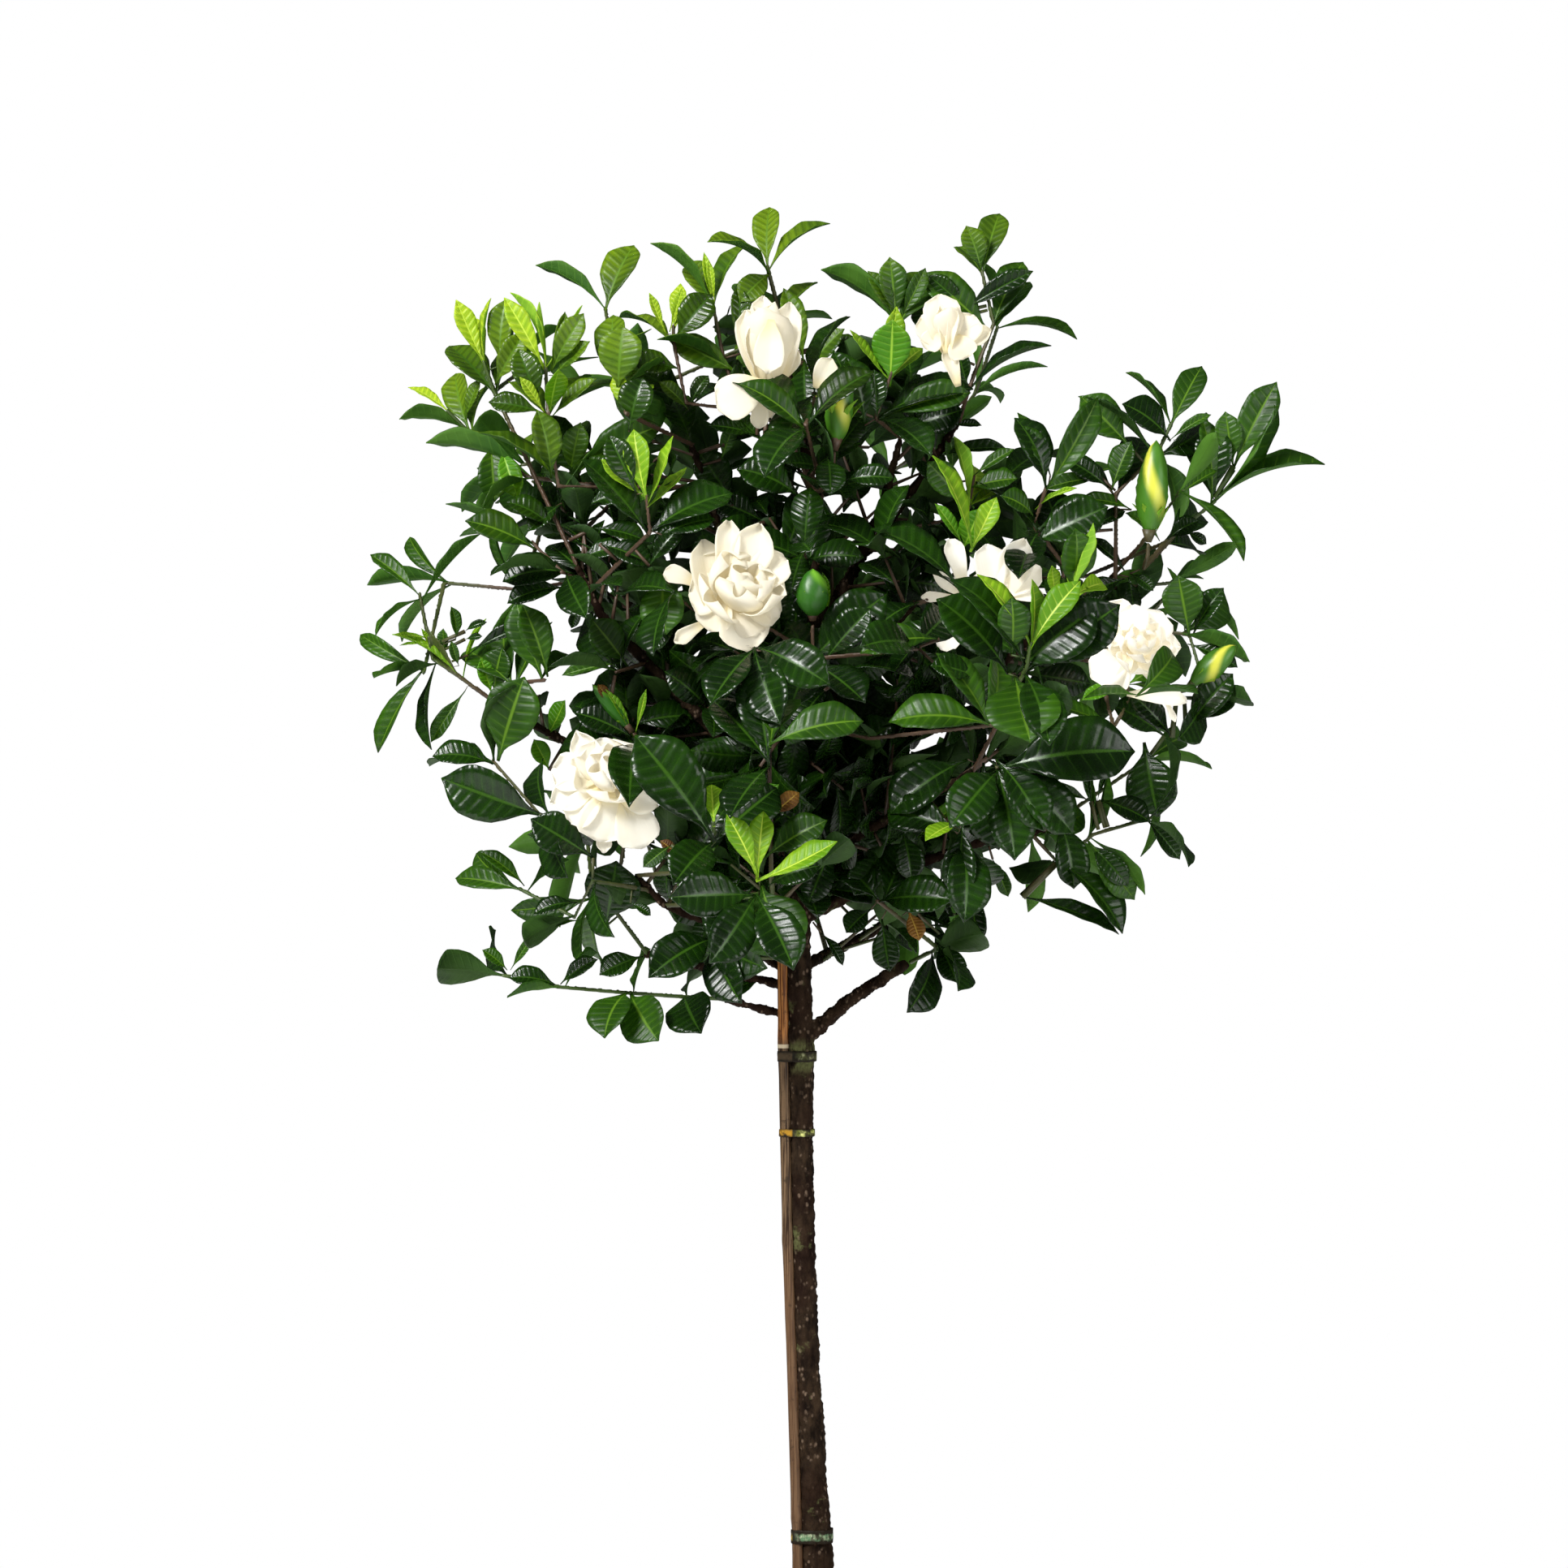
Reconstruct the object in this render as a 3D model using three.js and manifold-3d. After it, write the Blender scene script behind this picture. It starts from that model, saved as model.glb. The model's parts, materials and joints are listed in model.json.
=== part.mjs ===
// A gardenia grown as a standard: a leafy ball of a crown on one bare trunk, tied to a bamboo cane, in a
// terracotta pot. Millimetres, +Z up, the front towards -Y, the origin at the centre of the pot's base.
import * as THREE from "three";
import { mergeVertices } from "three/addons/utils/BufferGeometryUtils.js";
import Module from "manifold-3d";

const wasm = await Module();
wasm.setup();

// Driving dimensions: the pot.
const POT_HEIGHT = 280;
const POT_RIM_RADIUS = 150;
const POT_RIM_DEPTH = 42;
const POT_RIM_STEP = 7;
const POT_BASE_RADIUS = 100;
const POT_WALL = 9;
const POT_FLOOR = 12;
const POT_SIDES = 24;
const POT_EDGE = 3;
const DRAIN_HOLES = 4;
const DRAIN_HOLE_RADIUS = 7;
const DRAIN_HOLE_CIRCLE = 46;
const DRAIN_HOLE_SIDES = 8;
const DRILL_MARGIN = 5;
const SOIL_TOP = 262;
const SOIL_RISE = 3;

// Driving dimensions: stem, leaf and flower.
const GAP = 0.3;
const SLIVER = 0.1;
const TRUNK_SIDES = 8;
const LIMB_SIDES = 4;
const SHOOT_SIDES = 3;
const CANE_SIDES = 8;
const LEADER_FOOT = 1000;
const CANE_RADIUS = 3;
const CANE_KNOT_RADIUS = 3.6;
const TIE_THICKNESS = 1.3;
const SHOOT_RADIUS = { root: 2.3, tip: 2 };
const SHOOT_TIP = 3;
const LEAF_STAGGER = 1.8;
const CROWN_CENTRE = new THREE.Vector3(0, 0, 930);
const CROWN_REACH = new THREE.Vector3(285, 245, 260);

// A leaf's age sets its length, its width as a share of that, and how far it arches. Young leaves, and
// those at the crown's back, have a plainer outline.
const FULL_OUTLINE = { stations: [0, 0.12, 0.46, 0.78, 1], halfWidths: [0, 0.13, 1, 0.78, 0] };
const PLAIN_OUTLINE = { stations: [0, 0.16, 0.6, 1], halfWidths: [0, 0.2, 1, 0] };
const LEAVES = {
  old: { length: 60, width: 0.47, arch: 0.1, ...FULL_OUTLINE },
  mid: { length: 53, width: 0.44, arch: 0.08, ...FULL_OUTLINE },
  young: { length: 40, width: 0.36, arch: 0.05, ...PLAIN_OUTLINE },
  back: { length: 58, width: 0.46, arch: 0.09, ...PLAIN_OUTLINE },
};
const LEAF_KEEL = 1.5;
const ROOT_DEPTH = 0.9;
const PETAL_STATIONS = [0, 0.5, 0.86, 1];
const PETAL_HALF_WIDTHS = [0, 0.86, 0.94, 0];
const BUD_STATIONS = [0, 0.18, 0.46, 0.78, 1];
const BUD_RADII = [0, 0.8, 1, 0.62, 0];

const COLOURS = {
  terracotta: 0xb5633f,
  soil: 0x3a2a1f,
  bark: 0x33241b,
  cane: 0x8a6a45,
  tieGreyGreen: 0x7f8f6c,
  tieYellowGreen: 0x9aa53c,
  tiePale: 0xb9c0a6,
  old: 0x1c4a1c,
  mid: 0x2f6b22,
  young: 0x7fb534,
  petal: 0xf6f1e2,
  budGreen: 0x4f9434,
  budYellow: 0xb9bf45,
};

const ROUGHNESS = { earth: 0.9, smooth: 0.55, leaf: 0.35 };

// Random draws come from one seeded row, so that the plant is the same each time.
let drawState = 20117;
function draw(low, high) {
  drawState = (drawState * 16807) % 2147483647;
  return low + ((high - low) * drawState) / 2147483647;
}

const vector = (x, y, z) => new THREE.Vector3(x, y, z);
const vectors = (rows) => rows.map(([x, y, z]) => vector(x, y, z));

// A closed geometry as a solid that can be joined and cut.
function solidOf(geometry) {
  geometry.deleteAttribute("normal");
  geometry.deleteAttribute("uv");
  const merged = mergeVertices(geometry, 1e-4);
  const mesh = new wasm.Mesh({
    numProp: 3,
    vertProperties: new Float32Array(merged.attributes.position.array),
    triVerts: new Uint32Array(merged.index.array),
  });
  return new wasm.Manifold(mesh);
}

// Every vertex of a geometry goes where the rule sends it.
function reshape(geometry, rule) {
  const place = geometry.attributes.position;
  for (let i = 0; i < place.count; i += 1) {
    const moved = rule(place.getX(i), place.getY(i), place.getZ(i));
    place.setXYZ(i, moved.x, moved.y, moved.z);
  }
  return solidOf(geometry);
}

// The part of a vector that stands square to a direction, at length one.
function squareTo(direction, wanted) {
  return wanted.clone().addScaledVector(direction, -wanted.dot(direction)).normalize();
}

// One frame at each point of a path, each turned as little as can be from the one before.
function framesAlong(points) {
  let across = vector(1, 0, 0);
  return points.map((point, i) => {
    const before = points[Math.max(i - 1, 0)];
    const after = points[Math.min(i + 1, points.length - 1)];
    const along = after.clone().sub(before).normalize();
    if (i === 0 && Math.abs(along.x) > 0.9) across = vector(0, 1, 0);
    across = squareTo(along, across);
    return { along, across, beside: across.clone().cross(along) };
  });
}

// A round stem: a cylinder whose rings are carried to the points of a path.
function stemSolid(points, radii, sides) {
  const last = points.length - 1;
  const frames = framesAlong(points);
  return reshape(new THREE.CylinderGeometry(1, 1, 1, sides, last), (x, y, z) => {
    const ring = Math.round((y + 0.5) * last);
    const { across, beside } = frames[ring];
    const radius = radii[ring];
    return points[ring].clone().addScaledVector(across, x * radius).addScaledVector(beside, z * radius);
  });
}

// Sizes that go evenly from one to another.
function taper(from, to, count) {
  return Array.from({ length: count }, (_, i) => from + ((to - from) * i) / (count - 1));
}

// A blade has stations from base to tip. Its section is a lens, with an edge left and right and a rib above
// and below, or flat on top with a keel below. It folds up along the rib and arches between its ends.
// Grown, it is the room that it needs.
function bladeSolid(base, tip, face, form, grow = 0) {
  const reach = tip.distanceTo(base);
  const along = tip.clone().sub(base).normalize();
  const up = squareTo(along, face);
  const side = along.clone().cross(up);
  const steps = form.stations.length - 1;
  const keeled = form.above === 0 && grow === 0;
  const ball = new THREE.SphereGeometry(1, keeled ? 3 : 4, steps, keeled ? Math.PI / 6 : 0);
  return reshape(ball, (x, y, z) => {
    const polar = Math.acos(THREE.MathUtils.clamp(y, -1, 1));
    const step = steps - Math.round((polar / Math.PI) * steps);
    const t = form.stations[step];
    const ring = step === 0 || step === steps ? 0 : 1 / Math.sin(polar);
    const toEdge = Math.round(x * ring);
    const thickness = toEdge || !ring ? 0 : Math.sign(z) * ((z > 0 ? form.above : form.below) + grow);
    const halfWidth = form.halfWidths[step] * form.width * reach * 0.5 + grow;
    const rise = form.arch * reach * 4 * t * (1 - t) + form.fold * halfWidth * Math.abs(toEdge);
    return base
      .clone()
      .addScaledVector(along, reach * t + (step === steps ? grow : 0))
      .addScaledVector(side, halfWidth * toEdge)
      .addScaledVector(up, rise + thickness);
  });
}

// A spindle: a ball drawn out from base to tip, with a radius at each station and a twist over its length.
function spindleSolid(base, tip, radius, stations, radii, twist, meridians) {
  const along = tip.clone().sub(base).normalize();
  const reach = tip.distanceTo(base);
  const [{ across, beside }] = framesAlong([base, tip]);
  const steps = stations.length - 1;
  return reshape(new THREE.SphereGeometry(1, meridians, steps), (x, y, z) => {
    const polar = Math.acos(THREE.MathUtils.clamp(y, -1, 1));
    const step = steps - Math.round((polar / Math.PI) * steps);
    const angle = Math.atan2(z, x) + twist * stations[step];
    const size = radius * radii[step];
    return base
      .clone()
      .addScaledVector(along, reach * stations[step])
      .addScaledVector(across, Math.cos(angle) * size)
      .addScaledVector(beside, Math.sin(angle) * size);
  });
}

const bodies = new THREE.Group();

// A solid without loose scraps, and with any hollow sealed inside it filled.
function largestBody(solid) {
  return solid.decompose().reduce((best, each) => (each.volume() > best.volume() ? each : best));
}

// A solid becomes a named mesh, without slivers.
function addMesh(name, solid, colour, roughness) {
  const body = largestBody(largestBody(solid).simplify(SLIVER));
  const { vertProperties, triVerts } = body.getMesh();
  const geometry = new THREE.BufferGeometry();
  geometry.setAttribute("position", new THREE.BufferAttribute(vertProperties, 3));
  geometry.setIndex(new THREE.BufferAttribute(triVerts, 1));
  geometry.computeVertexNormals();
  const material = new THREE.MeshStandardMaterial({ color: colour, roughness, metalness: 0 });
  const mesh = new THREE.Mesh(geometry, material);
  mesh.name = name;
  bodies.add(mesh);
  return mesh;
}

// What is in place already, so that what comes later grows clear of it.
const inPlace = [];
function settle(owner, solid) {
  inPlace.push({ owner, solid, box: solid.boundingBox() });
}

const boxesMeet = (a, b) => [0, 1, 2].every((i) => a.min[i] < b.max[i] && b.min[i] < a.max[i]);

function isClear(room, owner) {
  const box = room.boundingBox();
  return inPlace.every(
    (other) => other.owner === owner || !boxesMeet(box, other.box) || room.intersect(other.solid).isEmpty(),
  );
}

// The pot: one turned wall with a thick rim, and drainage holes off the centre of its floor.
function potInnerRadius(z) {
  const slope = (POT_RIM_RADIUS - POT_RIM_STEP - POT_BASE_RADIUS) / POT_HEIGHT;
  return POT_BASE_RADIUS + slope * z - POT_WALL;
}

function turned(profile) {
  const points = profile.map(([radius, z]) => new THREE.Vector2(radius, z));
  return solidOf(new THREE.LatheGeometry(points, POT_SIDES).rotateX(Math.PI / 2));
}

function potSolid() {
  const rimFoot = POT_HEIGHT - POT_RIM_DEPTH;
  let pot = turned([
    [0, 0],
    [POT_BASE_RADIUS - POT_EDGE, 0],
    [POT_BASE_RADIUS, POT_EDGE],
    [potInnerRadius(rimFoot) + POT_WALL, rimFoot],
    [POT_RIM_RADIUS - POT_EDGE, rimFoot],
    [POT_RIM_RADIUS, POT_HEIGHT - POT_EDGE],
    [POT_RIM_RADIUS - POT_EDGE, POT_HEIGHT],
    [potInnerRadius(POT_HEIGHT) + POT_EDGE, POT_HEIGHT],
    [potInnerRadius(POT_HEIGHT), POT_HEIGHT - POT_EDGE],
    [potInnerRadius(POT_FLOOR), POT_FLOOR],
    [0, POT_FLOOR],
  ]);
  for (let i = 0; i < DRAIN_HOLES; i += 1) {
    const angle = ((i + 0.5) * 2 * Math.PI) / DRAIN_HOLES;
    const x = DRAIN_HOLE_CIRCLE * Math.cos(angle);
    const y = DRAIN_HOLE_CIRCLE * Math.sin(angle);
    const drill = [vector(x, y, -DRILL_MARGIN), vector(x, y, POT_FLOOR + DRILL_MARGIN)];
    pot = pot.subtract(stemSolid(drill, [DRAIN_HOLE_RADIUS, DRAIN_HOLE_RADIUS], DRAIN_HOLE_SIDES));
  }
  return pot;
}

// The trunk's centre line and its radius at each point, from its foot in the soil up to the leader.
const TRUNK = [
  [4, 0, 150, 11],
  [5, 0, 262, 11.2],
  [4.4, 0, 320, 9.8],
  [1, 0, 390, 8.2],
  [-2, 0, 450, 7.3],
  [-5, 0, 545, 6.8],
  [-6, 0, 600, 6.8],
  [-6, 0, 650, 8],
  [-7, 0, 680, 7.5],
  [-8, 0, 740, 6.5],
  [-6, 5, 800, 6],
  [-3, 5, 860, 5],
  [0, 5, 930, 4.2],
  [2, 5, 1010, 3.2],
  [-8, 5, 1060, 2.6],
  [-20, 2, 1105, 2],
];

// A centre line's row at a height, drawn straight between its given rows.
function rowAt(rows, z) {
  const next = Math.max(1, rows.findIndex((row) => row[2] >= z));
  const [a, b] = [rows[next - 1], rows[next]];
  const share = (z - a[2]) / (b[2] - a[2]);
  return a.map((value, i) => value + (b[i] - value) * share);
}

// The cane's centre line. It stands close beside the trunk and ends inside the crown.
const CANE = [
  [-13, -8, 120, CANE_RADIUS],
  [-10.6, -6, 262, CANE_RADIUS],
  [-8.4, -4, 320, CANE_RADIUS],
  [-9.6, -3.8, 353, CANE_RADIUS],
  [-12, -3, 440, CANE_RADIUS],
  [-15.2, -2.6, 529, CANE_RADIUS],
  [-18, -2, 655, CANE_RADIUS],
  [-19, -2, 742, CANE_RADIUS],
];
const CANE_KNOTS = [353, 529, 655];
const KNOT_FOOT = 4;
const KNOT_SHOULDER = 3;

// Limbs leave the trunk inside the crown: foot radius, end radius, then the points of the centre line.
const LIMBS = {
  low_right: [5, 3.5, [-5, 0, 658], [25, -6, 684], [62, -10, 708]],
  low_left: [3.2, 2, [-6, 2, 660], [-20, 9, 675], [-55, 6, 684]],
  left_skirt: [3.4, 2, [-7, 3, 690], [-22, 12, 694], [-70, 4, 705], [-105, -16, 714]],
  left_flower: [3.4, 2, [-8, -3, 715], [-20, -16, 722], [-55, -38, 732], [-92, -56, 746], [-110, -62, 765]],
  mid_left: [5, 1.9, [-8, 3, 745], [-50, 8, 790], [-110, 2, 826], [-160, -4, 851], [-195, -7, 869]],
  up_left: [5, 2, [-6, 0, 780], [-45, -18, 840], [-95, -35, 890], [-132, -40, 928], [-148, -42, 960]],
  back_left: [4, 2, [-6, 6, 800], [-50, 50, 870], [-110, 90, 930], [-150, 95, 990]],
  crest_left: [4, 2, [-4, 5, 850], [-30, 20, 925], [-60, 25, 990], [-76, 10, 1040]],
  crest_right: [4, 2, [-2, 6, 880], [22, 18, 945], [48, 24, 1005], [58, 18, 1045]],
  high_right: [3.6, 2, [0, 5, 920], [35, 30, 970], [72, 35, 1020], [95, 20, 1055]],
  far_right: [5, 2, [-4, 4, 800], [50, 12, 850], [120, 20, 900], [180, 20, 940], [196, 18, 952]],
  mid_right: [4, 2.2, [-6, 0, 760], [30, -30, 790], [75, -60, 815], [100, -90, 830]],
  right_skirt: [4, 2, [-5, 2, 735], [50, 10, 765], [110, 5, 785], [150, -4, 793]],
  front_up: [3.6, 2, [-6, 3, 800], [-10, -50, 850], [-12, -90, 890]],
  front_low: [3.6, 2.2, [-8, -4, 735], [-15, -60, 745], [-25, -120, 752]],
  right_front_up: [3.6, 2, [-3, 3, 860], [30, -40, 900], [65, -75, 935]],
  back_right: [4, 2, [-4, 8, 810], [45, 70, 860], [100, 120, 905], [150, 140, 960]],
  back_centre: [4, 2, [-4, 8, 780], [0, 80, 850], [-10, 150, 900]],
  back_low_left: [3.6, 2, [-8, 6, 700], [-50, 70, 720], [-100, 130, 750]],
  back_low_right: [3.6, 2, [-5, 6, 705], [40, 70, 725], [90, 130, 755]],
  back_up: [3.2, 2, [0, 8, 940], [5, 60, 1000], [10, 90, 1050]],
};

// Where shoots may leave the limbs, and the room round the limbs that shoots are cut back from.
const SAMPLE_SHARES = [0.25, 0.5, 0.75, 1];
const limbSamples = [];
const limbRooms = [];
function trunkSolid() {
  const line = vectors(TRUNK);
  const radii = TRUNK.map((row) => row[3]);
  const parts = [stemSolid(line, radii, TRUNK_SIDES)];
  limbRooms.push(stemSolid(line, radii.map((radius) => radius + GAP), TRUNK_SIDES));
  line.forEach((point, i) => {
    if (point.z > LEADER_FOOT) limbSamples.push({ point, radius: radii[i] });
  });
  for (const [foot, end, ...rows] of Object.values(LIMBS)) {
    const path = vectors(rows);
    const sizes = taper(foot, end, path.length);
    parts.push(stemSolid(path, sizes, LIMB_SIDES));
    const [beforeEnd, tip] = path.slice(-2);
    const roomPath = [...path.slice(0, -1), tip.clone().add(tip.clone().sub(beforeEnd).setLength(GAP))];
    limbRooms.push(stemSolid(roomPath, sizes.map((size) => size + GAP), LIMB_SIDES));
    path.slice(1).forEach((next, i) => {
      for (const share of SAMPLE_SHARES) {
        if (i + share > 1) limbSamples.push({ point: path[i].clone().lerp(next, share), radius: sizes[i] });
      }
    });
  }
  return wasm.Manifold.union(parts);
}

// The bamboo's knots are low rings on its smooth shaft.
function caneSolid() {
  const straight = CANE.filter(([, , z]) => !CANE_KNOTS.includes(z));
  const knots = CANE_KNOTS.flatMap((z) => [
    rowAt(CANE, z - KNOT_FOOT),
    [...rowAt(CANE, z).slice(0, 3), CANE_KNOT_RADIUS],
    rowAt(CANE, z + KNOT_SHOULDER),
  ]);
  const rows = [...straight, ...knots].sort((a, b) => a[2] - b[2]);
  return stemSolid(vectors(rows), rows.map((row) => row[3]), CANE_SIDES);
}

// A plain hole for a stem that stands in the soil: its foot and sides with a gap all round.
function holeSolid(rows, sides) {
  const points = vectors(rows);
  points[0].z -= GAP;
  return stemSolid(points, rows.map((row) => row[3] + GAP), sides);
}

// Soil fills the pot and has a hole round the trunk and one round the cane.
function soilSolid() {
  const fill = turned([
    [0, POT_FLOOR + GAP],
    [potInnerRadius(POT_FLOOR) - GAP, POT_FLOOR + GAP],
    [potInnerRadius(SOIL_TOP) - 2 * GAP, SOIL_TOP],
    [0, SOIL_TOP + SOIL_RISE],
  ]);
  const trunkHole = holeSolid(TRUNK.slice(0, 3), TRUNK_SIDES);
  const caneHole = holeSolid(CANE.slice(0, 3), CANE_SIDES);
  return fill.subtract(trunkHole).subtract(caneHole);
}

// The belt's arcs are drawn in straight steps, so they stand off by what half a step cuts away.
const BELT_HALF_STEP = Math.PI / 8;
const BELT_POINTS = 3;

// A tie is a flat band drawn round trunk and cane: the outline of two circles with a belt over both.
function beltShape(a, ra, b, rb) {
  const line = b.clone().sub(a);
  const heading = Math.atan2(line.y, line.x);
  const spread = Math.acos((ra - rb) / line.length());
  const shape = new THREE.Path();
  shape.absarc(a.x, a.y, ra, heading + spread, heading - spread + 2 * Math.PI, false);
  shape.absarc(b.x, b.y, rb, heading - spread, heading + spread, false);
  shape.closePath();
  return shape;
}

function tieSolid({ z, height }) {
  const [trunkX, trunkY, , trunkRadius] = rowAt(TRUNK, z);
  const [caneX, caneY, , caneRadius] = rowAt(CANE, z);
  const a = new THREE.Vector2(trunkX, trunkY);
  const b = new THREE.Vector2(caneX, caneY);
  const trunkInner = (trunkRadius + GAP) / Math.cos(BELT_HALF_STEP);
  const caneInner = (caneRadius + GAP) / Math.cos(BELT_HALF_STEP);
  const inner = beltShape(a, trunkInner, b, caneInner);
  const outer = beltShape(a, trunkInner + TIE_THICKNESS, b, caneInner + TIE_THICKNESS);
  const band = new THREE.Shape(outer.getPoints(BELT_POINTS));
  band.holes.push(new THREE.Path(inner.getPoints(BELT_POINTS)));
  const belt = new THREE.ExtrudeGeometry(band, { depth: height, bevelEnabled: false });
  return solidOf(belt.translate(0, 0, z - height / 2));
}

// Each tie: the height of its middle, its width and its colour.
const TIES = {
  tie_crown_foot: { z: 648, height: 7, colour: COLOURS.tieGreyGreen },
  tie_upper: { z: 599, height: 5, colour: COLOURS.tieYellowGreen },
  tie_low: { z: 341, height: 9, colour: COLOURS.tiePale },
};

// Petals stand in layers round a heart, each layer opened further than the one inside it.
const petalForm = (width, arch, fold) => ({
  stations: PETAL_STATIONS,
  halfWidths: PETAL_HALF_WIDTHS,
  width,
  arch,
  fold,
  above: 0.6,
  below: 0.6,
});

const BLOOMS = {
  bloom_main: {
    centre: [-52, -112, 950],
    facing: [0.12, -0.95, 0.28],
    tubeLength: 20,
    heart: 7,
    layers: [
      { count: 6, tilt: 82, length: 40, width: 0.82, arch: 0.1, phase: 0.2 },
      { count: 4, tilt: 50, length: 33, width: 0.9, arch: -0.06, phase: 0.6 },
      { count: 2, tilt: 18, length: 25, width: 0.9, arch: -0.14, phase: 0.1 },
    ],
    loose: [[-93, -116, 963], [-87, -114, 914]],
  },
  bloom_top: {
    centre: [-30, -66, 1092],
    facing: [-0.08, -0.45, 0.89],
    tubeLength: 18,
    heart: 7,
    layers: [
      { count: 4, tilt: 28, length: 45, width: 0.74, arch: -0.12, phase: 0.3 },
      { count: 2, tilt: 8, length: 38, width: 0.7, arch: -0.14, phase: 0.9 },
    ],
    loose: [[-60, -88, 1068], [-32, -98, 1053], [12, -82, 1092]],
  },
  bloom_half_right: {
    centre: [91, -70, 1097],
    facing: [-0.05, -0.35, 0.93],
    tubeLength: 24,
    heart: 6,
    layers: [
      { count: 4, tilt: 32, length: 40, width: 0.86, arch: -0.16, phase: 0.4 },
      { count: 2, tilt: 8, length: 33, width: 0.7, arch: -0.14, phase: 0.1 },
    ],
    loose: [],
  },
  bloom_right_hidden: {
    centre: [112, -62, 952],
    facing: [0.1, -0.5, 0.86],
    tubeLength: 18,
    heart: 7,
    layers: [
      { count: 6, tilt: 76, length: 40, width: 0.62, arch: 0.06, phase: 0.5 },
      { count: 3, tilt: 34, length: 31, width: 0.76, arch: -0.08, phase: 0.1 },
    ],
    loose: [[88, -84, 990], [96, -72, 988]],
  },
  bloom_far_right: {
    centre: [208, -60, 906],
    facing: [0.22, -0.93, 0.3],
    tubeLength: 20,
    heart: 6,
    layers: [
      { count: 6, tilt: 80, length: 36, width: 0.66, arch: 0.06, phase: 0.1 },
      { count: 3, tilt: 42, length: 27, width: 0.8, arch: -0.06, phase: 0.7 },
    ],
    loose: [[222, -78, 872]],
  },
  bloom_left: {
    centre: [-135, -92, 820],
    facing: [-0.1, -0.82, 0.56],
    tubeLength: 18,
    heart: 7,
    layers: [
      { count: 6, tilt: 78, length: 41, width: 0.7, arch: 0.08, phase: 0.4 },
      { count: 4, tilt: 40, length: 30, width: 0.84, arch: -0.08, phase: 0.1 },
    ],
    loose: [[-133, -118, 779]],
  },
};

// How deep under a bloom's centre its tube, its petals and its heart begin.
const TUBE_RADIUS = { foot: 2.6, throat: 4.6 };
const THROAT_DEPTH = 5;
const PETAL_DEPTH = 8;
const HEART_DEPTH = 8;
const HEART_RISE = 2.2;
const PETAL_LEAN = 0.26;

function bloomSolid({ centre, facing, tubeLength, heart, layers, loose }) {
  const middle = vector(...centre);
  const axis = vector(...facing).normalize();
  const [{ across, beside }] = framesAlong([vector(0, 0, 0), axis]);
  const root = middle.clone().addScaledVector(axis, -THROAT_DEPTH);
  const foot = middle.clone().addScaledVector(axis, -THROAT_DEPTH - tubeLength);
  const parts = [stemSolid([foot, root], [TUBE_RADIUS.foot, TUBE_RADIUS.throat], 5)];
  const heartFoot = middle.clone().addScaledVector(axis, -HEART_DEPTH);
  const heartTip = middle.clone().addScaledVector(axis, heart * HEART_RISE);
  parts.push(spindleSolid(heartFoot, heartTip, heart, [0, 0.4, 0.8, 1], [0, 1, 0.7, 0], 1, 5));
  for (const { count, tilt, length, width, arch, phase } of layers) {
    for (let i = 0; i < count; i += 1) {
      const turn = ((i + phase) * 2 * Math.PI) / count + draw(-0.08, 0.08);
      const lean = THREE.MathUtils.degToRad(tilt + draw(-5, 5));
      const outward = across.clone().multiplyScalar(Math.cos(turn)).addScaledVector(beside, Math.sin(turn));
      const sideways = axis.clone().cross(outward);
      const base = middle.clone().addScaledVector(axis, -PETAL_DEPTH);
      const reach = length * draw(0.94, 1.04);
      const tip = base
        .clone()
        .addScaledVector(outward, reach * Math.sin(lean))
        .addScaledVector(axis, reach * Math.cos(lean));
      const face = axis
        .clone()
        .multiplyScalar(Math.sin(lean))
        .addScaledVector(outward, -Math.cos(lean))
        .addScaledVector(sideways, PETAL_LEAN);
      parts.push(bladeSolid(base, tip, face, petalForm(width, arch, 0.16)));
    }
  }
  for (const end of loose) {
    parts.push(bladeSolid(root.clone(), vector(...end), axis, petalForm(0.3, 0.1, 0.16)));
  }
  return wasm.Manifold.union(parts);
}

// A flower's own stalk ends a gap short of its foot, after a straight lead.
const STALK_LEAD = 9;
const STALK_GAP = 0.35;
function stalkPoints(foot, axis) {
  return [foot.clone().addScaledVector(axis, -STALK_LEAD), foot.clone().addScaledVector(axis, -STALK_GAP)];
}

function bloomStalk({ centre, facing, tubeLength }) {
  const axis = vector(...facing).normalize();
  return stalkPoints(vector(...centre).addScaledVector(axis, -THROAT_DEPTH - tubeLength), axis);
}

// A bud is a twisted spindle in a calyx of narrow sepals: foot, tip, radius, sepal length and colour.
const { budGreen, budYellow } = COLOURS;
const BUDS = {
  bud_green: { foot: [0, -110, 921], tip: [0, -116, 960], radius: 10.5, sepal: 14, colour: budGreen },
  bud_top: { foot: [14, -80, 1030], tip: [20, -82, 1083], radius: 8.5, sepal: 30, colour: budYellow },
  bud_right_up: { foot: [214, -22, 976], tip: [219, -24, 1041], radius: 10, sepal: 20, colour: budYellow },
  bud_right_low: { foot: [238, -34, 883], tip: [268, -40, 910], radius: 8, sepal: 12, colour: budGreen },
  bud_small_left: { foot: [-113, -60, 855], tip: [-138, -64, 885], radius: 4.6, sepal: 9, colour: budYellow },
};
const SEPALS = 3;
const CALYX = { length: 8, foot: 2, swell: 0.42, sepalFoot: 4 };
const BUD_START = 3;
const BUD_TWIST = 1.4;
const BUD_MERIDIANS = 5;

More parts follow.
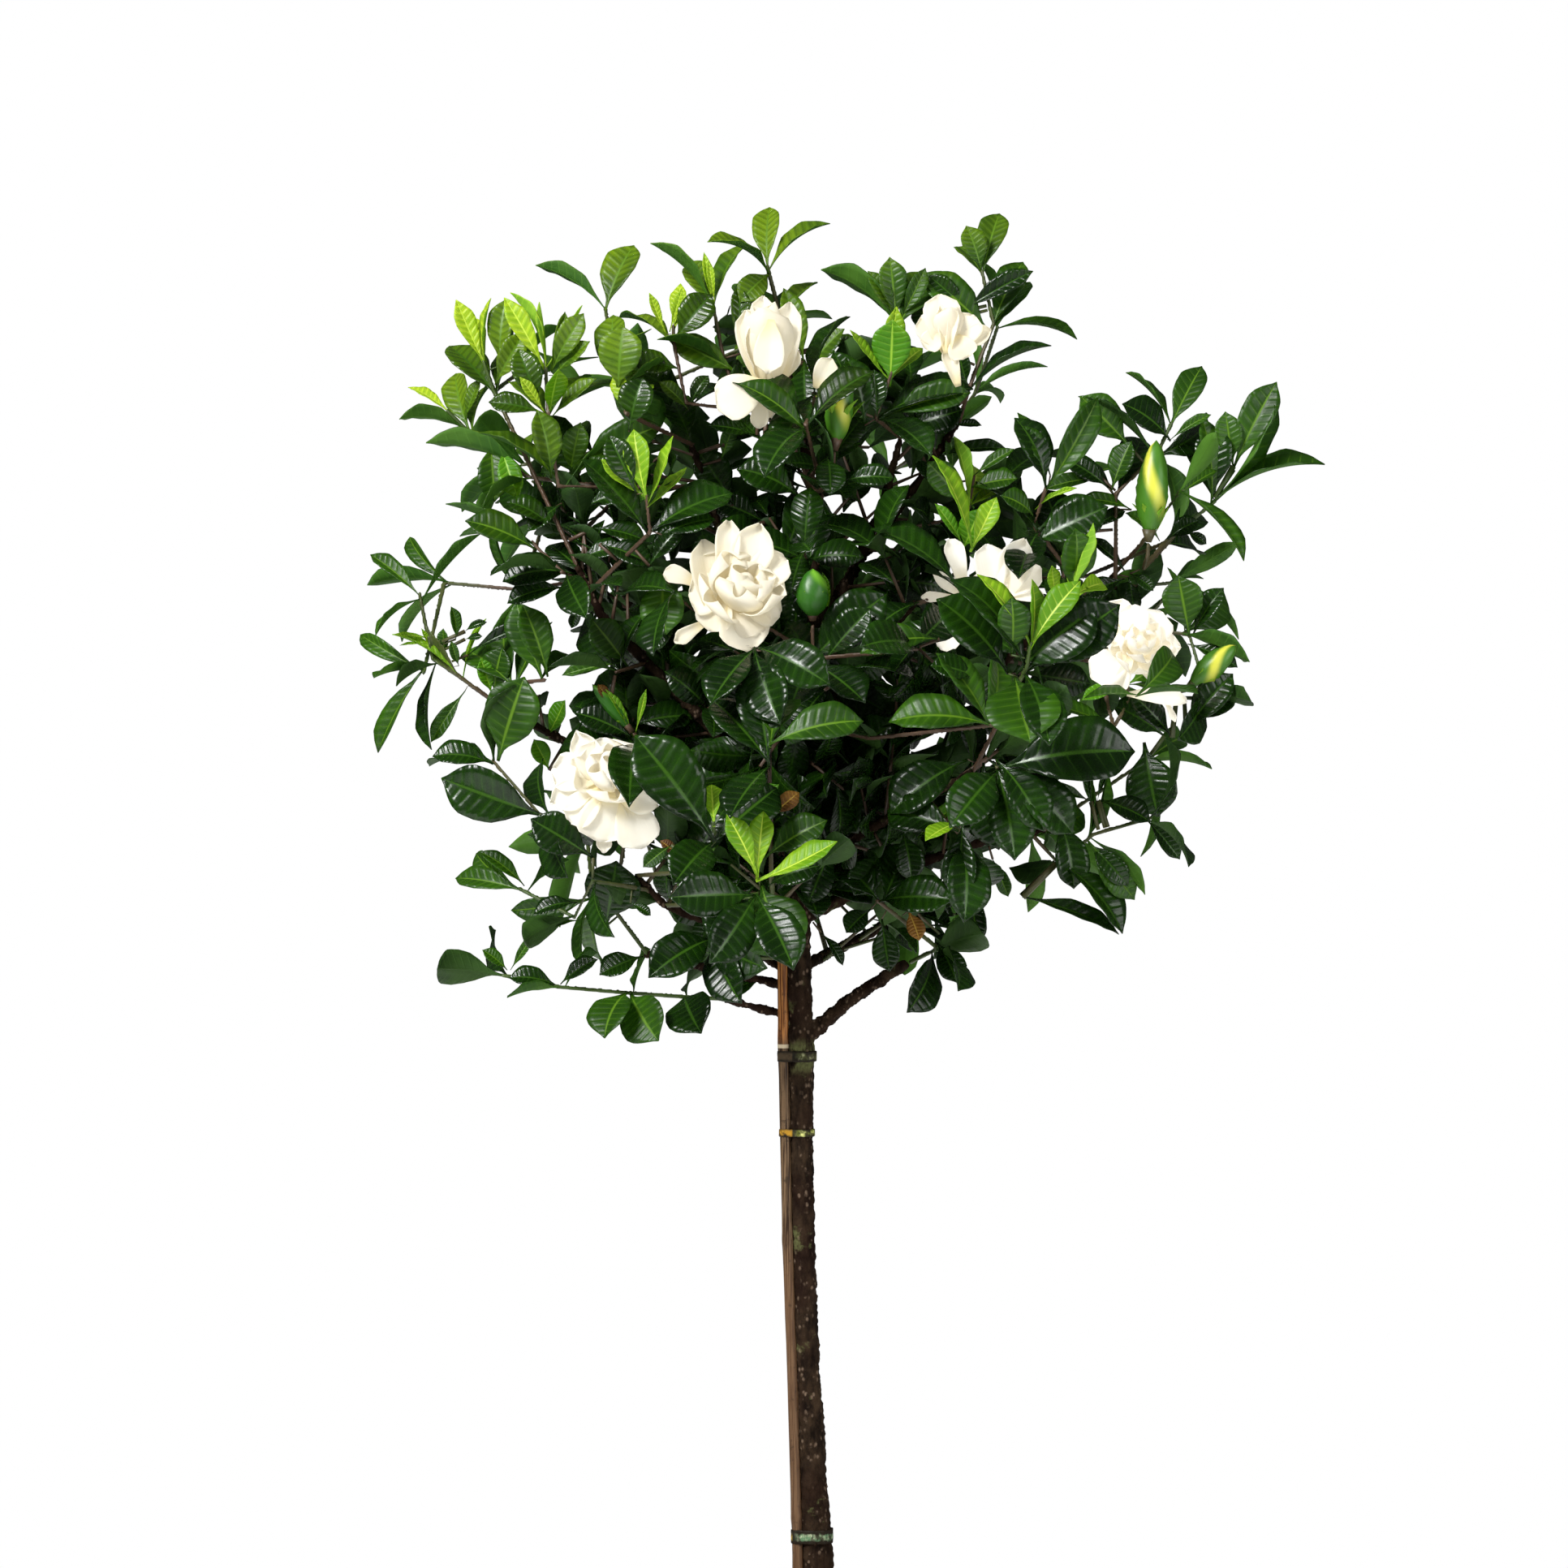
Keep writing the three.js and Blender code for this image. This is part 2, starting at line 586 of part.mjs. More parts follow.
function budSolid({ foot, tip, radius, sepal }) {
  const base = vector(...foot);
  const end = vector(...tip);
  const axis = end.clone().sub(base).normalize();
  const [{ across, beside }] = framesAlong([base, end]);
  const calyxTop = base.clone().addScaledVector(axis, CALYX.length);
  const start = base.clone().addScaledVector(axis, BUD_START);
  const parts = [
    stemSolid([base, calyxTop], [CALYX.foot, radius * CALYX.swell], BUD_MERIDIANS),
    spindleSolid(start, end, radius, BUD_STATIONS, BUD_RADII, BUD_TWIST, BUD_MERIDIANS),
  ];
  for (let i = 0; i < SEPALS; i += 1) {
    const turn = ((i + 0.3) * 2 * Math.PI) / SEPALS;
    const outward = across.clone().multiplyScalar(Math.cos(turn)).addScaledVector(beside, Math.sin(turn));
    const root = base.clone().addScaledVector(axis, CALYX.sepalFoot);
    const sepalTip = root
      .clone()
      .addScaledVector(axis, sepal * 0.86)
      .addScaledVector(outward, radius * 0.5 + sepal * 0.5);
    parts.push(bladeSolid(root, sepalTip, outward.clone().negate(), petalForm(0.22, -0.14, 0.1)));
  }
  return wasm.Manifold.union(parts);
}

function budStalk({ foot, tip }) {
  const base = vector(...foot);
  return stalkPoints(base, vector(...tip).sub(base).normalize());
}

// Points of a shoot: a leafy joint with its leaves' age and tips as seen from the front (x, z), a bare
// point that only leads the shoot, and the flower or bud that ends it.
const leafy = (x, y, z, age, ...tips) => ({ at: vector(x, y, z), age, tips });
const bare = (x, y, z) => ({ at: vector(x, y, z), tips: [] });
const carries = (name) => ({ carries: name });

// The sprays of the crown's front and sides. Each has a main shoot first, then side shoots that leave it.
const SPRAYS = {
  spray_crest_left: [
    [
      leafy(-202, -22, 1072, "old", [-233, 1104], [-178, 1106]),
      leafy(-208, -25, 1089, "young", [-226, 1130], [-204, 1131], [-214, 1120]),
    ],
    [leafy(-190, 30, 1088, "mid", [-197, 1132], [-162, 1120])],
  ],
  spray_crest_left_long: [
    [
      leafy(-160, -48, 1010, "mid", [-210, 1044], [-128, 1040]),
      leafy(-166, -55, 1056, "mid", [-140, 1082], [-192, 1078]),
      leafy(-168, -50, 1086, "young", [-190, 1132], [-145, 1124], [-172, 1126]),
    ],
    [
      leafy(-182, -15, 1018, "mid", [-246, 1040], [-208, 996]),
      leafy(-222, 0, 1050, "mid", [-262, 1054], [-230, 1088], [-206, 1082]),
      leafy(-232, 0, 1060, "young", [-260, 1078]),
    ],
  ],
  spray_left_shelf: [
    [
      leafy(-157, -60, 955, "old", [-200, 952], [-140, 925]),
      leafy(-176, -40, 974, "mid", [-232, 1000], [-224, 980]),
    ],
  ],
  spray_top_left: [
    [
      leafy(-117, -75, 1054, "young", [-124, 1082], [-100, 1074]),
      leafy(-122, -50, 1074, "mid", [-126, 1120], [-92, 1088]),
      leafy(-133, 20, 1128, "mid", [-178, 1157], [-115, 1172]),
    ],
  ],
  spray_crest_fan: [
    [
      leafy(-80, -25, 1064, "old", [-118, 1090], [-50, 1078]),
      leafy(-88, -20, 1103, "mid", [-124, 1122]),
      leafy(-88, -20, 1112, "young", [-84, 1143], [-70, 1136]),
    ],
    [
      leafy(-56, -10, 1092, "mid", [-98, 1104]),
      leafy(-63, -8, 1128, "mid", [-103, 1168], [-42, 1170], [-78, 1160]),
    ],
  ],
  spray_crown_tip: [
    [
      leafy(-20, 0, 1122, "mid", [-50, 1142], [4, 1147]),
      leafy(-28, 0, 1152, "mid", [-27, 1195], [12, 1183], [-66, 1165]),
    ],
  ],
  spray_bud_collar: [
    [bare(6, -36, 1008), carries("bud_top")],
    [leafy(-4, -96, 1044, "old", [-50, 1074], [38, 1078], [-30, 1010])],
    [leafy(2, -58, 1068, "old", [24, 1118], [-20, 1030])],
    [carries("bloom_top")],
  ],
  spray_crest_right: [
    [
      leafy(40, -55, 1052, "old", [102, 1072], [74, 1026]),
      leafy(49, -60, 1078, "young", [53, 1122], [24, 1108], [70, 1098]),
    ],
    [leafy(55, 0, 1115, "mid", [6, 1152], [38, 1151], [76, 1152])],
  ],
  spray_high_right: [
    [
      leafy(101, 5, 1076, "old", [154, 1104], [66, 1056]),
      leafy(117, 8, 1118, "mid", [137, 1160], [142, 1148], [72, 1150]),
      leafy(110, 10, 1150, "mid", [122, 1192], [96, 1172]),
    ],
    [carries("bloom_half_right")],
  ],
  spray_right_inner: [
    [
      leafy(140, -45, 985, "old", [104, 1015], [183, 998], [128, 950]),
      leafy(147, -50, 1008, "mid", [130, 1057], [180, 1066]),
    ],
  ],
  spray_right_crest: [
    [
      leafy(195, 0, 1008, "old", [214, 1046], [150, 1034]),
      leafy(222, 2, 1035, "old", [171, 1071], [257, 1059]),
      leafy(230, 0, 1052, "mid", [203, 1088], [252, 1092]),
    ],
  ],
  spray_far_right: [
    [
      leafy(228, 14, 978, "old", [252, 1000], [254, 972]),
      leafy(258, 10, 1003, "mid", [298, 1080], [250, 1058], [330, 1028]),
    ],
    [bare(212, -6, 960), carries("bud_right_up")],
    [leafy(232, 20, 980, "mid", [230, 1030])],
  ],
  spray_right_shoulder: [
    [
      leafy(242, 0, 918, "mid", [230, 962], [268, 944], [278, 900]),
      leafy(252, -16, 880, "old", [276, 874], [230, 850]),
    ],
    [carries("bud_right_low")],
  ],
  spray_far_bloom: [
    [bare(182, -10, 900), carries("bloom_far_right")],
    [bare(190, -50, 858), leafy(202, -98, 878, "mid", [226, 904], [170, 876], [236, 878])],
  ],
  spray_right_front: [
    [
      leafy(92, -104, 945, "old", [36, 980], [70, 955]),
      leafy(98, -112, 968, "young", [74, 1025], [114, 1000]),
    ],
    [carries("bloom_right_hidden")],
    [leafy(100, -30, 1000, "young", [104, 1026], [124, 1016], [90, 1043])],
  ],
  spray_hero_whorl: [
    [
      leafy(128, -190, 892, "old", [82, 945], [184, 930], [140, 845]),
      leafy(130, -194, 905, "young", [98, 948], [160, 944], [131, 945]),
    ],
    [leafy(160, -130, 938, "young", [155, 965], [180, 946], [172, 982])],
  ],
  spray_shelf_right: [[leafy(108, -150, 858, "mid", [46, 860], [75, 902], [112, 900])]],
  spray_right_drape: [[leafy(112, -150, 832, "old", [122, 776], [158, 792], [196, 842], [82, 796])]],
  spray_centre_drape: [
    [leafy(92, -130, 792, "old", [92, 738], [46, 806]), leafy(90, -136, 800, "young", [96, 826], [68, 788])],
  ],
  spray_centre_shoot: [
    [
      leafy(-27, -182, 838, "old", [-62, 874], [-34, 892], [-50, 802]),
      leafy(-26, -190, 846, "mid", [30, 860], [-22, 874]),
    ],
  ],
  spray_bud_green: [
    [leafy(1, -104, 900, "old", [-14, 868], [32, 872], [46, 940]), carries("bud_green")],
    [leafy(62, -130, 905, "old", [28, 905], [84, 928])],
  ],
  spray_under_bloom: [
    [leafy(-36, -150, 905, "old", [-20, 858], [-62, 870], [10, 882])],
    [leafy(-85, -130, 940, "old", [-97, 900], [-118, 940])],
    [carries("bloom_main")],
  ],
  spray_bright_left: [
    [
      leafy(-100, -120, 977, "old", [-142, 1022], [-49, 1002]),
      leafy(-102, -125, 998, "young", [-130, 1022], [-110, 1040], [-86, 1036], [-78, 1018]),
    ],
  ],
  spray_front_low: [
    [
      leafy(-33, -195, 756, "old", [-12, 712], [-62, 716], [-86, 755]),
      leafy(-34, -199, 768, "young", [-52, 804], [-30, 806], [14, 788]),
    ],
  ],
  spray_big_left: [
    [
      leafy(-59, -165, 789, "old", [-108, 852], [-22, 820], [-84, 762]),
      leafy(-60, -168, 797, "young", [-62, 822]),
    ],
  ],
  spray_left_bloom: [
    [bare(-118, -66, 785), carries("bloom_left")],
    [leafy(-106, -56, 842, "old", [-152, 872], [-112, 806], [-78, 862]), carries("bud_small_left")],
  ],
  spray_glossy_left: [
    [
      leafy(-170, -60, 802, "old", [-233, 826], [-152, 764], [-172, 836]),
      leafy(-202, -20, 836, "old", [-186, 892], [-246, 834]),
    ],
  ],
  spray_left_drape: [
    [
      leafy(-137, -85, 762, "old", [-122, 728], [-98, 748]),
      leafy(-150, -40, 738, "old", [-180, 724]),
      leafy(-184, -28, 755, "mid", [-215, 778], [-228, 762], [-156, 774]),
    ],
  ],
  spray_low_left: [
    [
      leafy(-84, -2, 686, "old", [-70, 665], [-62, 704]),
      leafy(-120, -12, 689, "mid", [-131, 662], [-97, 660], [-104, 716]),
      leafy(-162, -19, 693, "mid", [-192, 688], [-138, 714]),
      leafy(-195, -20, 700, "old", [-236, 706], [-204, 728]),
    ],
  ],
  spray_under_left: [[leafy(-62, -60, 725, "old", [-102, 702], [-44, 686], [-28, 708])]],
  spray_right_low: [
    [
      leafy(158, -12, 771, "old", [198, 727], [128, 768]),
      leafy(180, -8, 790, "mid", [212, 752], [172, 836], [190, 832]),
      leafy(215, -6, 800, "old", [228, 852], [238, 770]),
    ],
  ],
  spray_low_right: [
    [leafy(78, -11, 716, "old", [92, 692], [60, 678], [108, 728])],
    [leafy(42, -55, 748, "old", [88, 750], [18, 772], [62, 784])],
  ],
  spray_far_left: [
    [
      leafy(-228, -9, 893, "young", [-268, 918], [-250, 928], [-208, 928]),
      leafy(-242, -10, 902, "old", [-242, 844], [-262, 884]),
      leafy(-250, -10, 942, "mid", [-284, 970], [-276, 916], [-212, 982]),
    ],
  ],
  spray_left_round: [
    [leafy(-190, -24, 884, "mid", [-222, 908], [-197, 924], [-166, 926])],
    [leafy(-170, -44, 888, "mid", [-187, 938], [-150, 902])],
  ],
  spray_left_inner: [[leafy(-122, -60, 893, "old", [-164, 895], [-144, 928], [-106, 930])]],
};

// A leaf's tip is known from the front only. Its length sets how far it also leans: rising leaves lean
// back, falling ones come forward, and level ones take turns.
const LEVEL_SLOPE = 0.4;
const LEAN_SHARE = 0.8;
function leafTip(base, [x, z], length, turn) {
  const seen = Math.hypot(x - base.x, z - base.z);
  const depth = Math.sqrt(Math.max(0, length * length - seen * seen));
  const slope = (z - base.z) / Math.max(seen, 1);
  const lean = Math.abs(slope) > LEVEL_SLOPE ? Math.sign(slope) : turn;
  return vector(x, base.y + LEAN_SHARE * depth * lean, z);
}

// A leaf's upper face looks along the shoot, up, and out of the crown.
function leafFace(base, along) {
  const outward = base.clone().sub(CROWN_CENTRE).divide(CROWN_REACH).normalize();
  return vector(0, 0, 0.6)
    .addScaledVector(outward, 0.55)
    .addScaledVector(along, 0.5)
    .add(vector(draw(-0.2, 0.2), draw(-0.2, 0.2), 0));
}

const leafForm = (age) => ({ ...LEAVES[age], fold: 0, above: 0, below: LEAF_KEEL });

// Ways to bend a leaf clear of its neighbours: the depth that its tip moves by, then how much shorter it is.
const LEAF_BENDS = [1, 0.88, 0.76].flatMap((size) =>
  [0, 7, -7, 14, -14, 22, -22, 32, -32].map((depth) => ({ size, depth })),
);

function growLeaf(owner, joint, wantedTip, along, age, siblings) {
  const face = leafFace(joint, along);
  const form = leafForm(age);
  for (const { size, depth } of LEAF_BENDS) {
    const tip = wantedTip.clone().add(vector(0, depth, 0)).lerp(joint, 1 - size);
    const base = joint.clone().add(joint.clone().sub(tip).setLength(ROOT_DEPTH));
    const rootward = joint.clone().lerp(tip, 0.2);
    const room = bladeSolid(base, tip, face, form, GAP + 0.05);
    const outerRoom = bladeSolid(rootward, tip, face, form, GAP);
    if (isClear(room, owner) && siblings.every((other) => outerRoom.intersect(other).isEmpty())) {
      siblings.push(bladeSolid(rootward, tip, face, form));
      return bladeSolid(base, tip, face, form);
    }
  }
  return null;
}

// A shoot leaves the nearest limb or the shoot before it. Where it would cross something it bows aside.
const ROUTE_TRIES = 60;
const START_SPACING = 8;
const usedStarts = [];
function routeShoot(owner, stops, starts, endsInFlower) {
  const goal = stops[0];
  const climb = ({ point }) => point.distanceTo(goal) + 2 * Math.max(0, point.z - goal.z - 8);
  const isFree = ({ point }) => usedStarts.every((used) => used.distanceTo(point) > START_SPACING);
  const near = starts.filter(isFree).sort((a, b) => climb(a) - climb(b));
  for (let attempt = 0; attempt < ROUTE_TRIES; attempt += 1) {
    const start = near[Math.min(Math.floor(attempt / 4), near.length - 1)];
    const bow = Math.floor(attempt / 2) * 1.5;
    const aside = vector(draw(-bow, bow), draw(-bow, bow), draw(-bow, 0));
    const middle = start.point.clone().lerp(goal, 0.5).add(aside);
    const path = bow ? [start.point, middle, ...stops] : [start.point, ...stops];
    if (!endsInFlower) {
      const [before, end] = path.slice(-2);
      path[path.length - 1] = end.clone().add(end.clone().sub(before).setLength(SHOOT_TIP));
    }
    const lead = path[1].clone().sub(path[0]);
    const offset = Math.min(start.radius + 2.5, lead.length() * 0.8);
    const reached = endsInFlower ? path.slice(1, -1) : path.slice(1);
    const beyond = [path[0].clone().add(lead.setLength(offset)), ...reached];
    const roomRadii = taper(SHOOT_RADIUS.root + GAP, SHOOT_RADIUS.tip + GAP, beyond.length);
    const room = stemSolid(beyond, roomRadii, SHOOT_SIDES);
    if (isClear(room, owner)) {
      usedStarts.push(start.point);
      return path;
    }
  }
  throw new Error(owner + " finds no clear way to " + goal.toArray());
}

function stopsOf(shoot) {
  return shoot.flatMap((point) => {
    if (!point.carries) return [point.at];
    return point.carries in BLOOMS ? bloomStalk(BLOOMS[point.carries]) : budStalk(BUDS[point.carries]);
  });
}

// All shoots of a spray, as one solid that stops short of the limb that it grows from.
function growShoots(name, shoots) {
  const samples = [];
  let solid = null;
  const paths = shoots.map((shoot) => {
    const starts = samples.length ? samples : limbSamples;
    const endsInFlower = shoot.some((point) => point.carries);
    const path = routeShoot(name, stopsOf(shoot), starts, endsInFlower);
    const stem = stemSolid(path, taper(SHOOT_RADIUS.root, SHOOT_RADIUS.tip, path.length), SHOOT_SIDES);
    solid = solid ? solid.add(stem) : stem;
    const forks = endsInFlower ? path.slice(1, -2) : path.slice(1);
    forks.forEach((point) => samples.push({ point, radius: SHOOT_RADIUS.tip }));
    return path;
  });
  for (const room of limbRooms) {
    solid = solid.subtract(room);
  }
  settle(name, solid);
  return { name, shoots, paths, solid };
}

function growLeaves({ name, shoots, paths, solid }) {
  const blades = [];
  const siblings = [];
  shoots.forEach((shoot, row) => {
    shoot.forEach(({ at, age, tips = [] }, joint) => {
      if (!tips.length) return;
      const path = paths[row];
      const place = path.length - stopsOf(shoot).length + joint;
      const along = path[place].clone().sub(path[place - 1]).normalize();
      const setBack = place + 1 < path.length ? SHOOT_TIP : 0;
      tips.forEach((tip, i) => {
        const end = tip.isVector3 ? tip : leafTip(at, tip, LEAVES[age].length, i % 2 ? 1 : -1);
        const root = at.clone().addScaledVector(along, -setBack - LEAF_STAGGER * i);
        const leaf = growLeaf(name, root, end, along, age, siblings);
        if (leaf) {
          blades.push(leaf);
          settle(name, leaf);
        }
      });
    });
  });
  return wasm.Manifold.union([solid, ...blades]);
}

// The back of the crown: each spray fans three shoots out to the crown's edge, with a whorl at each joint.
const BACK_SPRAYS = {
  spray_back_low_left: [138, -38],
  spray_back_low_right: [42, -38],
  spray_back_left: [162, 6],
  spray_back_middle: [90, 0],
  spray_back_right: [18, 6],
  spray_back_high_left: [126, 42],
  spray_back_high_right: [54, 42],
};
const BACK_SHOOTS = [[0, 0], [-24, 14], [22, -15]];
const WHORL_SHARE = { low: 0.7, high: 0.88 };

function crownPoint(heading, height, share) {
  const turn = THREE.MathUtils.degToRad(heading);
  const lift = THREE.MathUtils.degToRad(height);
  return vector(Math.cos(turn) * Math.cos(lift), Math.sin(turn) * Math.cos(lift), Math.sin(lift))
    .multiply(CROWN_REACH)
    .multiplyScalar(share)
    .add(CROWN_CENTRE);
}

function whorl(at, along, count, open) {
  const [{ across, beside }] = framesAlong([at, at.clone().add(along)]);
  const phase = draw(0, 2);
  const tips = Array.from({ length: count }, (_, i) => {
    const turn = phase + (i * 2 * Math.PI) / count;
    const outward = across.clone().multiplyScalar(Math.cos(turn)).addScaledVector(beside, Math.sin(turn));
    const spread = THREE.MathUtils.degToRad(open + draw(-10, 10));
    const reach = LEAVES.back.length * draw(0.88, 1.04);
    return at
      .clone()
      .addScaledVector(outward, reach * Math.sin(spread))
      .addScaledVector(along, reach * Math.cos(spread))
      .add(vector(0, 0, -0.1 * reach));
  });
  return { at, age: "back", tips };
}

function backShoots([heading, height]) {
  return BACK_SHOOTS.map(([turn, lift], i) => {
    const low = crownPoint(heading + turn, height + lift, WHORL_SHARE.low);
    const high = crownPoint(heading + turn, height + lift, WHORL_SHARE.high);
    const along = high.clone().sub(low).normalize();
    if (i > 0) return [whorl(high, along, 3, 58)];
    return [whorl(low, along, 2, 75), whorl(high, along, 3, 45)];
  });
}

addMesh("pot", potSolid(), COLOURS.terracotta, ROUGHNESS.earth);
addMesh("soil", soilSolid(), COLOURS.soil, ROUGHNESS.earth);
const trunk = trunkSolid();
addMesh("trunk", trunk, COLOURS.bark, ROUGHNESS.earth);
settle("trunk", trunk);
const cane = caneSolid();
addMesh("cane", cane, COLOURS.cane, ROUGHNESS.smooth);
settle("cane", cane);
for (const [name, row] of Object.entries(TIES)) {
  const tie = tieSolid(row);
  addMesh(name, tie, row.colour, ROUGHNESS.smooth);
  settle(name, tie);
}
for (const [name, row] of Object.entries(BLOOMS)) {
  const bloom = bloomSolid(row);
  addMesh(name, bloom, COLOURS.petal, ROUGHNESS.smooth);
  settle(name, bloom);
}
for (const [name, row] of Object.entries(BUDS)) {
  const bud = budSolid(row);
  addMesh(name, bud, row.colour, ROUGHNESS.smooth);
  settle(name, bud);
}
const sprays = [
  ...Object.entries(SPRAYS).map(([name, shoots]) => growShoots(name, shoots)),
  ...Object.entries(BACK_SPRAYS).map(([name, row]) => growShoots(name, backShoots(row))),
];
for (const spray of sprays) {
  const ages = spray.shoots.flat().map((point) => point.age);
  const age = ["young", "mid", "old"].find((each) => ages.includes(each)) ?? "old";
  addMesh(spray.name, growLeaves(spray), COLOURS[age], ROUGHNESS.leaf);
}

export default bodies;
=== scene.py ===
# %% [markdown]
# # A gardenia grown as a standard
#
# A standard is a shrub trained as a small tree: one bare trunk, and a ball of leaves and flowers on top.
# The fixed model gives each piece its place and size. This lesson gives each one its real surface. Leaves,
# petals and buds are modelled once from a flat grid or a ball and then copied to where the model has them,
# because that is how a plant works too: one pattern, repeated with small changes.

# %% Load the fixed model
import json
import math
import random

import bmesh
import bpy
from mathutils import Matrix, Vector
from mathutils.bvhtree import BVHTree
from mathutils.kdtree import KDTree

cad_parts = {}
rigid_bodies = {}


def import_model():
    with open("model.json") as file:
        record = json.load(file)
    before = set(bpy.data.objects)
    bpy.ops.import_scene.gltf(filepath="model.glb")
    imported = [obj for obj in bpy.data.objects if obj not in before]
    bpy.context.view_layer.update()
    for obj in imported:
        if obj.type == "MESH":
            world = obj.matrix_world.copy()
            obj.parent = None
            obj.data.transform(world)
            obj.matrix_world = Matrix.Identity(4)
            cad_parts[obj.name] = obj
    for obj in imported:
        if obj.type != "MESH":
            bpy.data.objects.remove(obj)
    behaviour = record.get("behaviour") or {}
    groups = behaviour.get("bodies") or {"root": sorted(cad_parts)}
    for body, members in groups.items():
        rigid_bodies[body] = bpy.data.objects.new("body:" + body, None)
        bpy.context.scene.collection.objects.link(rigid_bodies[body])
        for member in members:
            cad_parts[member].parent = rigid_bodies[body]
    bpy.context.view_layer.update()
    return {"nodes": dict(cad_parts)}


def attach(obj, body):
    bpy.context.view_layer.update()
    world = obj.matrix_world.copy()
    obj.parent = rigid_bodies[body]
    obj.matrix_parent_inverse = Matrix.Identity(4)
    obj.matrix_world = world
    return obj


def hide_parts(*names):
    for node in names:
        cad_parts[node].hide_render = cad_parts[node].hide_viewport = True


bpy.ops.object.select_all(action="SELECT")
bpy.ops.object.delete()
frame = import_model()
random.seed(11)
MM = 0.001
CROWN_CENTRE = Vector((0, 0, 0.93))
CROWN_REACH = Vector((0.285, 0.245, 0.26))
print("fixed model:", len(frame["nodes"]), "nodes")

# %% [markdown]
# ## Camera and light
#
# The plant is seen level with its crown, from three metres off, so the lens is long and the shape hardly
# narrows with depth. A large soft lamp from the upper left gives the leaves their gloss, a second one from
# behind and above lights the young leaves through, and a weak one fills in from the right. The sky is white
# to the camera, softer as a light, and almost dark where a leaf mirrors it, so that the gloss comes from
# the lamps.

# %% Camera
FRAME_WIDTH = 1.0046
CAMERA_PLACE = (-0.0177, -3.0, 0.8223)
SENSOR = 36.0
bpy.ops.object.camera_add(location=CAMERA_PLACE, rotation=(math.pi / 2, 0, 0))
camera = bpy.context.object
camera.data.sensor_width = SENSOR
camera.data.lens = SENSOR * -CAMERA_PLACE[1] / FRAME_WIDTH
bpy.context.scene.camera = camera
bpy.context.scene.view_settings.view_transform = "Standard"
print("lens:", round(camera.data.lens, 1), "mm")

# %% Lamps and sky
LAMPS = {
    "key": {"stand": (-1.5, -1.9, 2.5), "power": 124, "size": 0.9, "glossy": True},
    "back": {"stand": (-0.7, 1.7, 2.4), "power": 60, "size": 1.0, "glossy": False},
    "fill": {"stand": (1.9, -1.8, 1.1), "power": 26, "size": 1.4, "glossy": True},
}
for label, lamp in LAMPS.items():
    stand = Vector(lamp["stand"])
    aim = (CROWN_CENTRE - stand).to_track_quat("-Z", "Y").to_euler()
    bpy.ops.object.light_add(type="AREA", location=stand, rotation=aim)
    light = bpy.context.object
    light.name = label + "_lamp"
    light.data.energy = lamp["power"]
    light.data.size = lamp["size"]
    light.visible_glossy = lamp["glossy"]

AMBIENT = 0.39
MIRRORED = 0.07
world = bpy.data.worlds.new("studio")
world.use_nodes = True
bpy.context.scene.world = world
sky = world.node_tree
sky.nodes.clear()
seen = sky.nodes.new("ShaderNodeLightPath")
mirrored = sky.nodes.new("ShaderNodeMapRange")
mirrored.inputs["To Min"].default_value = AMBIENT
mirrored.inputs["To Max"].default_value = MIRRORED
level = sky.nodes.new("ShaderNodeMapRange")
level.inputs["To Max"].default_value = 1.0
backdrop = sky.nodes.new("ShaderNodeBackground")
backdrop.inputs["Color"].default_value = (1, 1, 1, 1)
sky_output = sky.nodes.new("ShaderNodeOutputWorld")
sky.links.new(seen.outputs["Is Glossy Ray"], mirrored.inputs["Value"])
sky.links.new(mirrored.outputs["Result"], level.inputs["To Min"])
sky.links.new(seen.outputs["Is Camera Ray"], level.inputs["Value"])
sky.links.new(level.outputs["Result"], backdrop.inputs["Strength"])
sky.links.new(backdrop.outputs["Background"], sky_output.inputs["Surface"])
print("lamps:", sorted(LAMPS))

# %% [markdown]
# ## How the finishes are written
#
# Each finish is a small tree of nodes. A helper adds a node, sets its values and joins its inputs, so that
# a finish reads from its pattern down to its shader. Patterns on the bark and the clay follow the object's
# own space. Those on leaves and petals follow the grid that the piece was made from, so that veins stay on
# the leaf however it is turned.

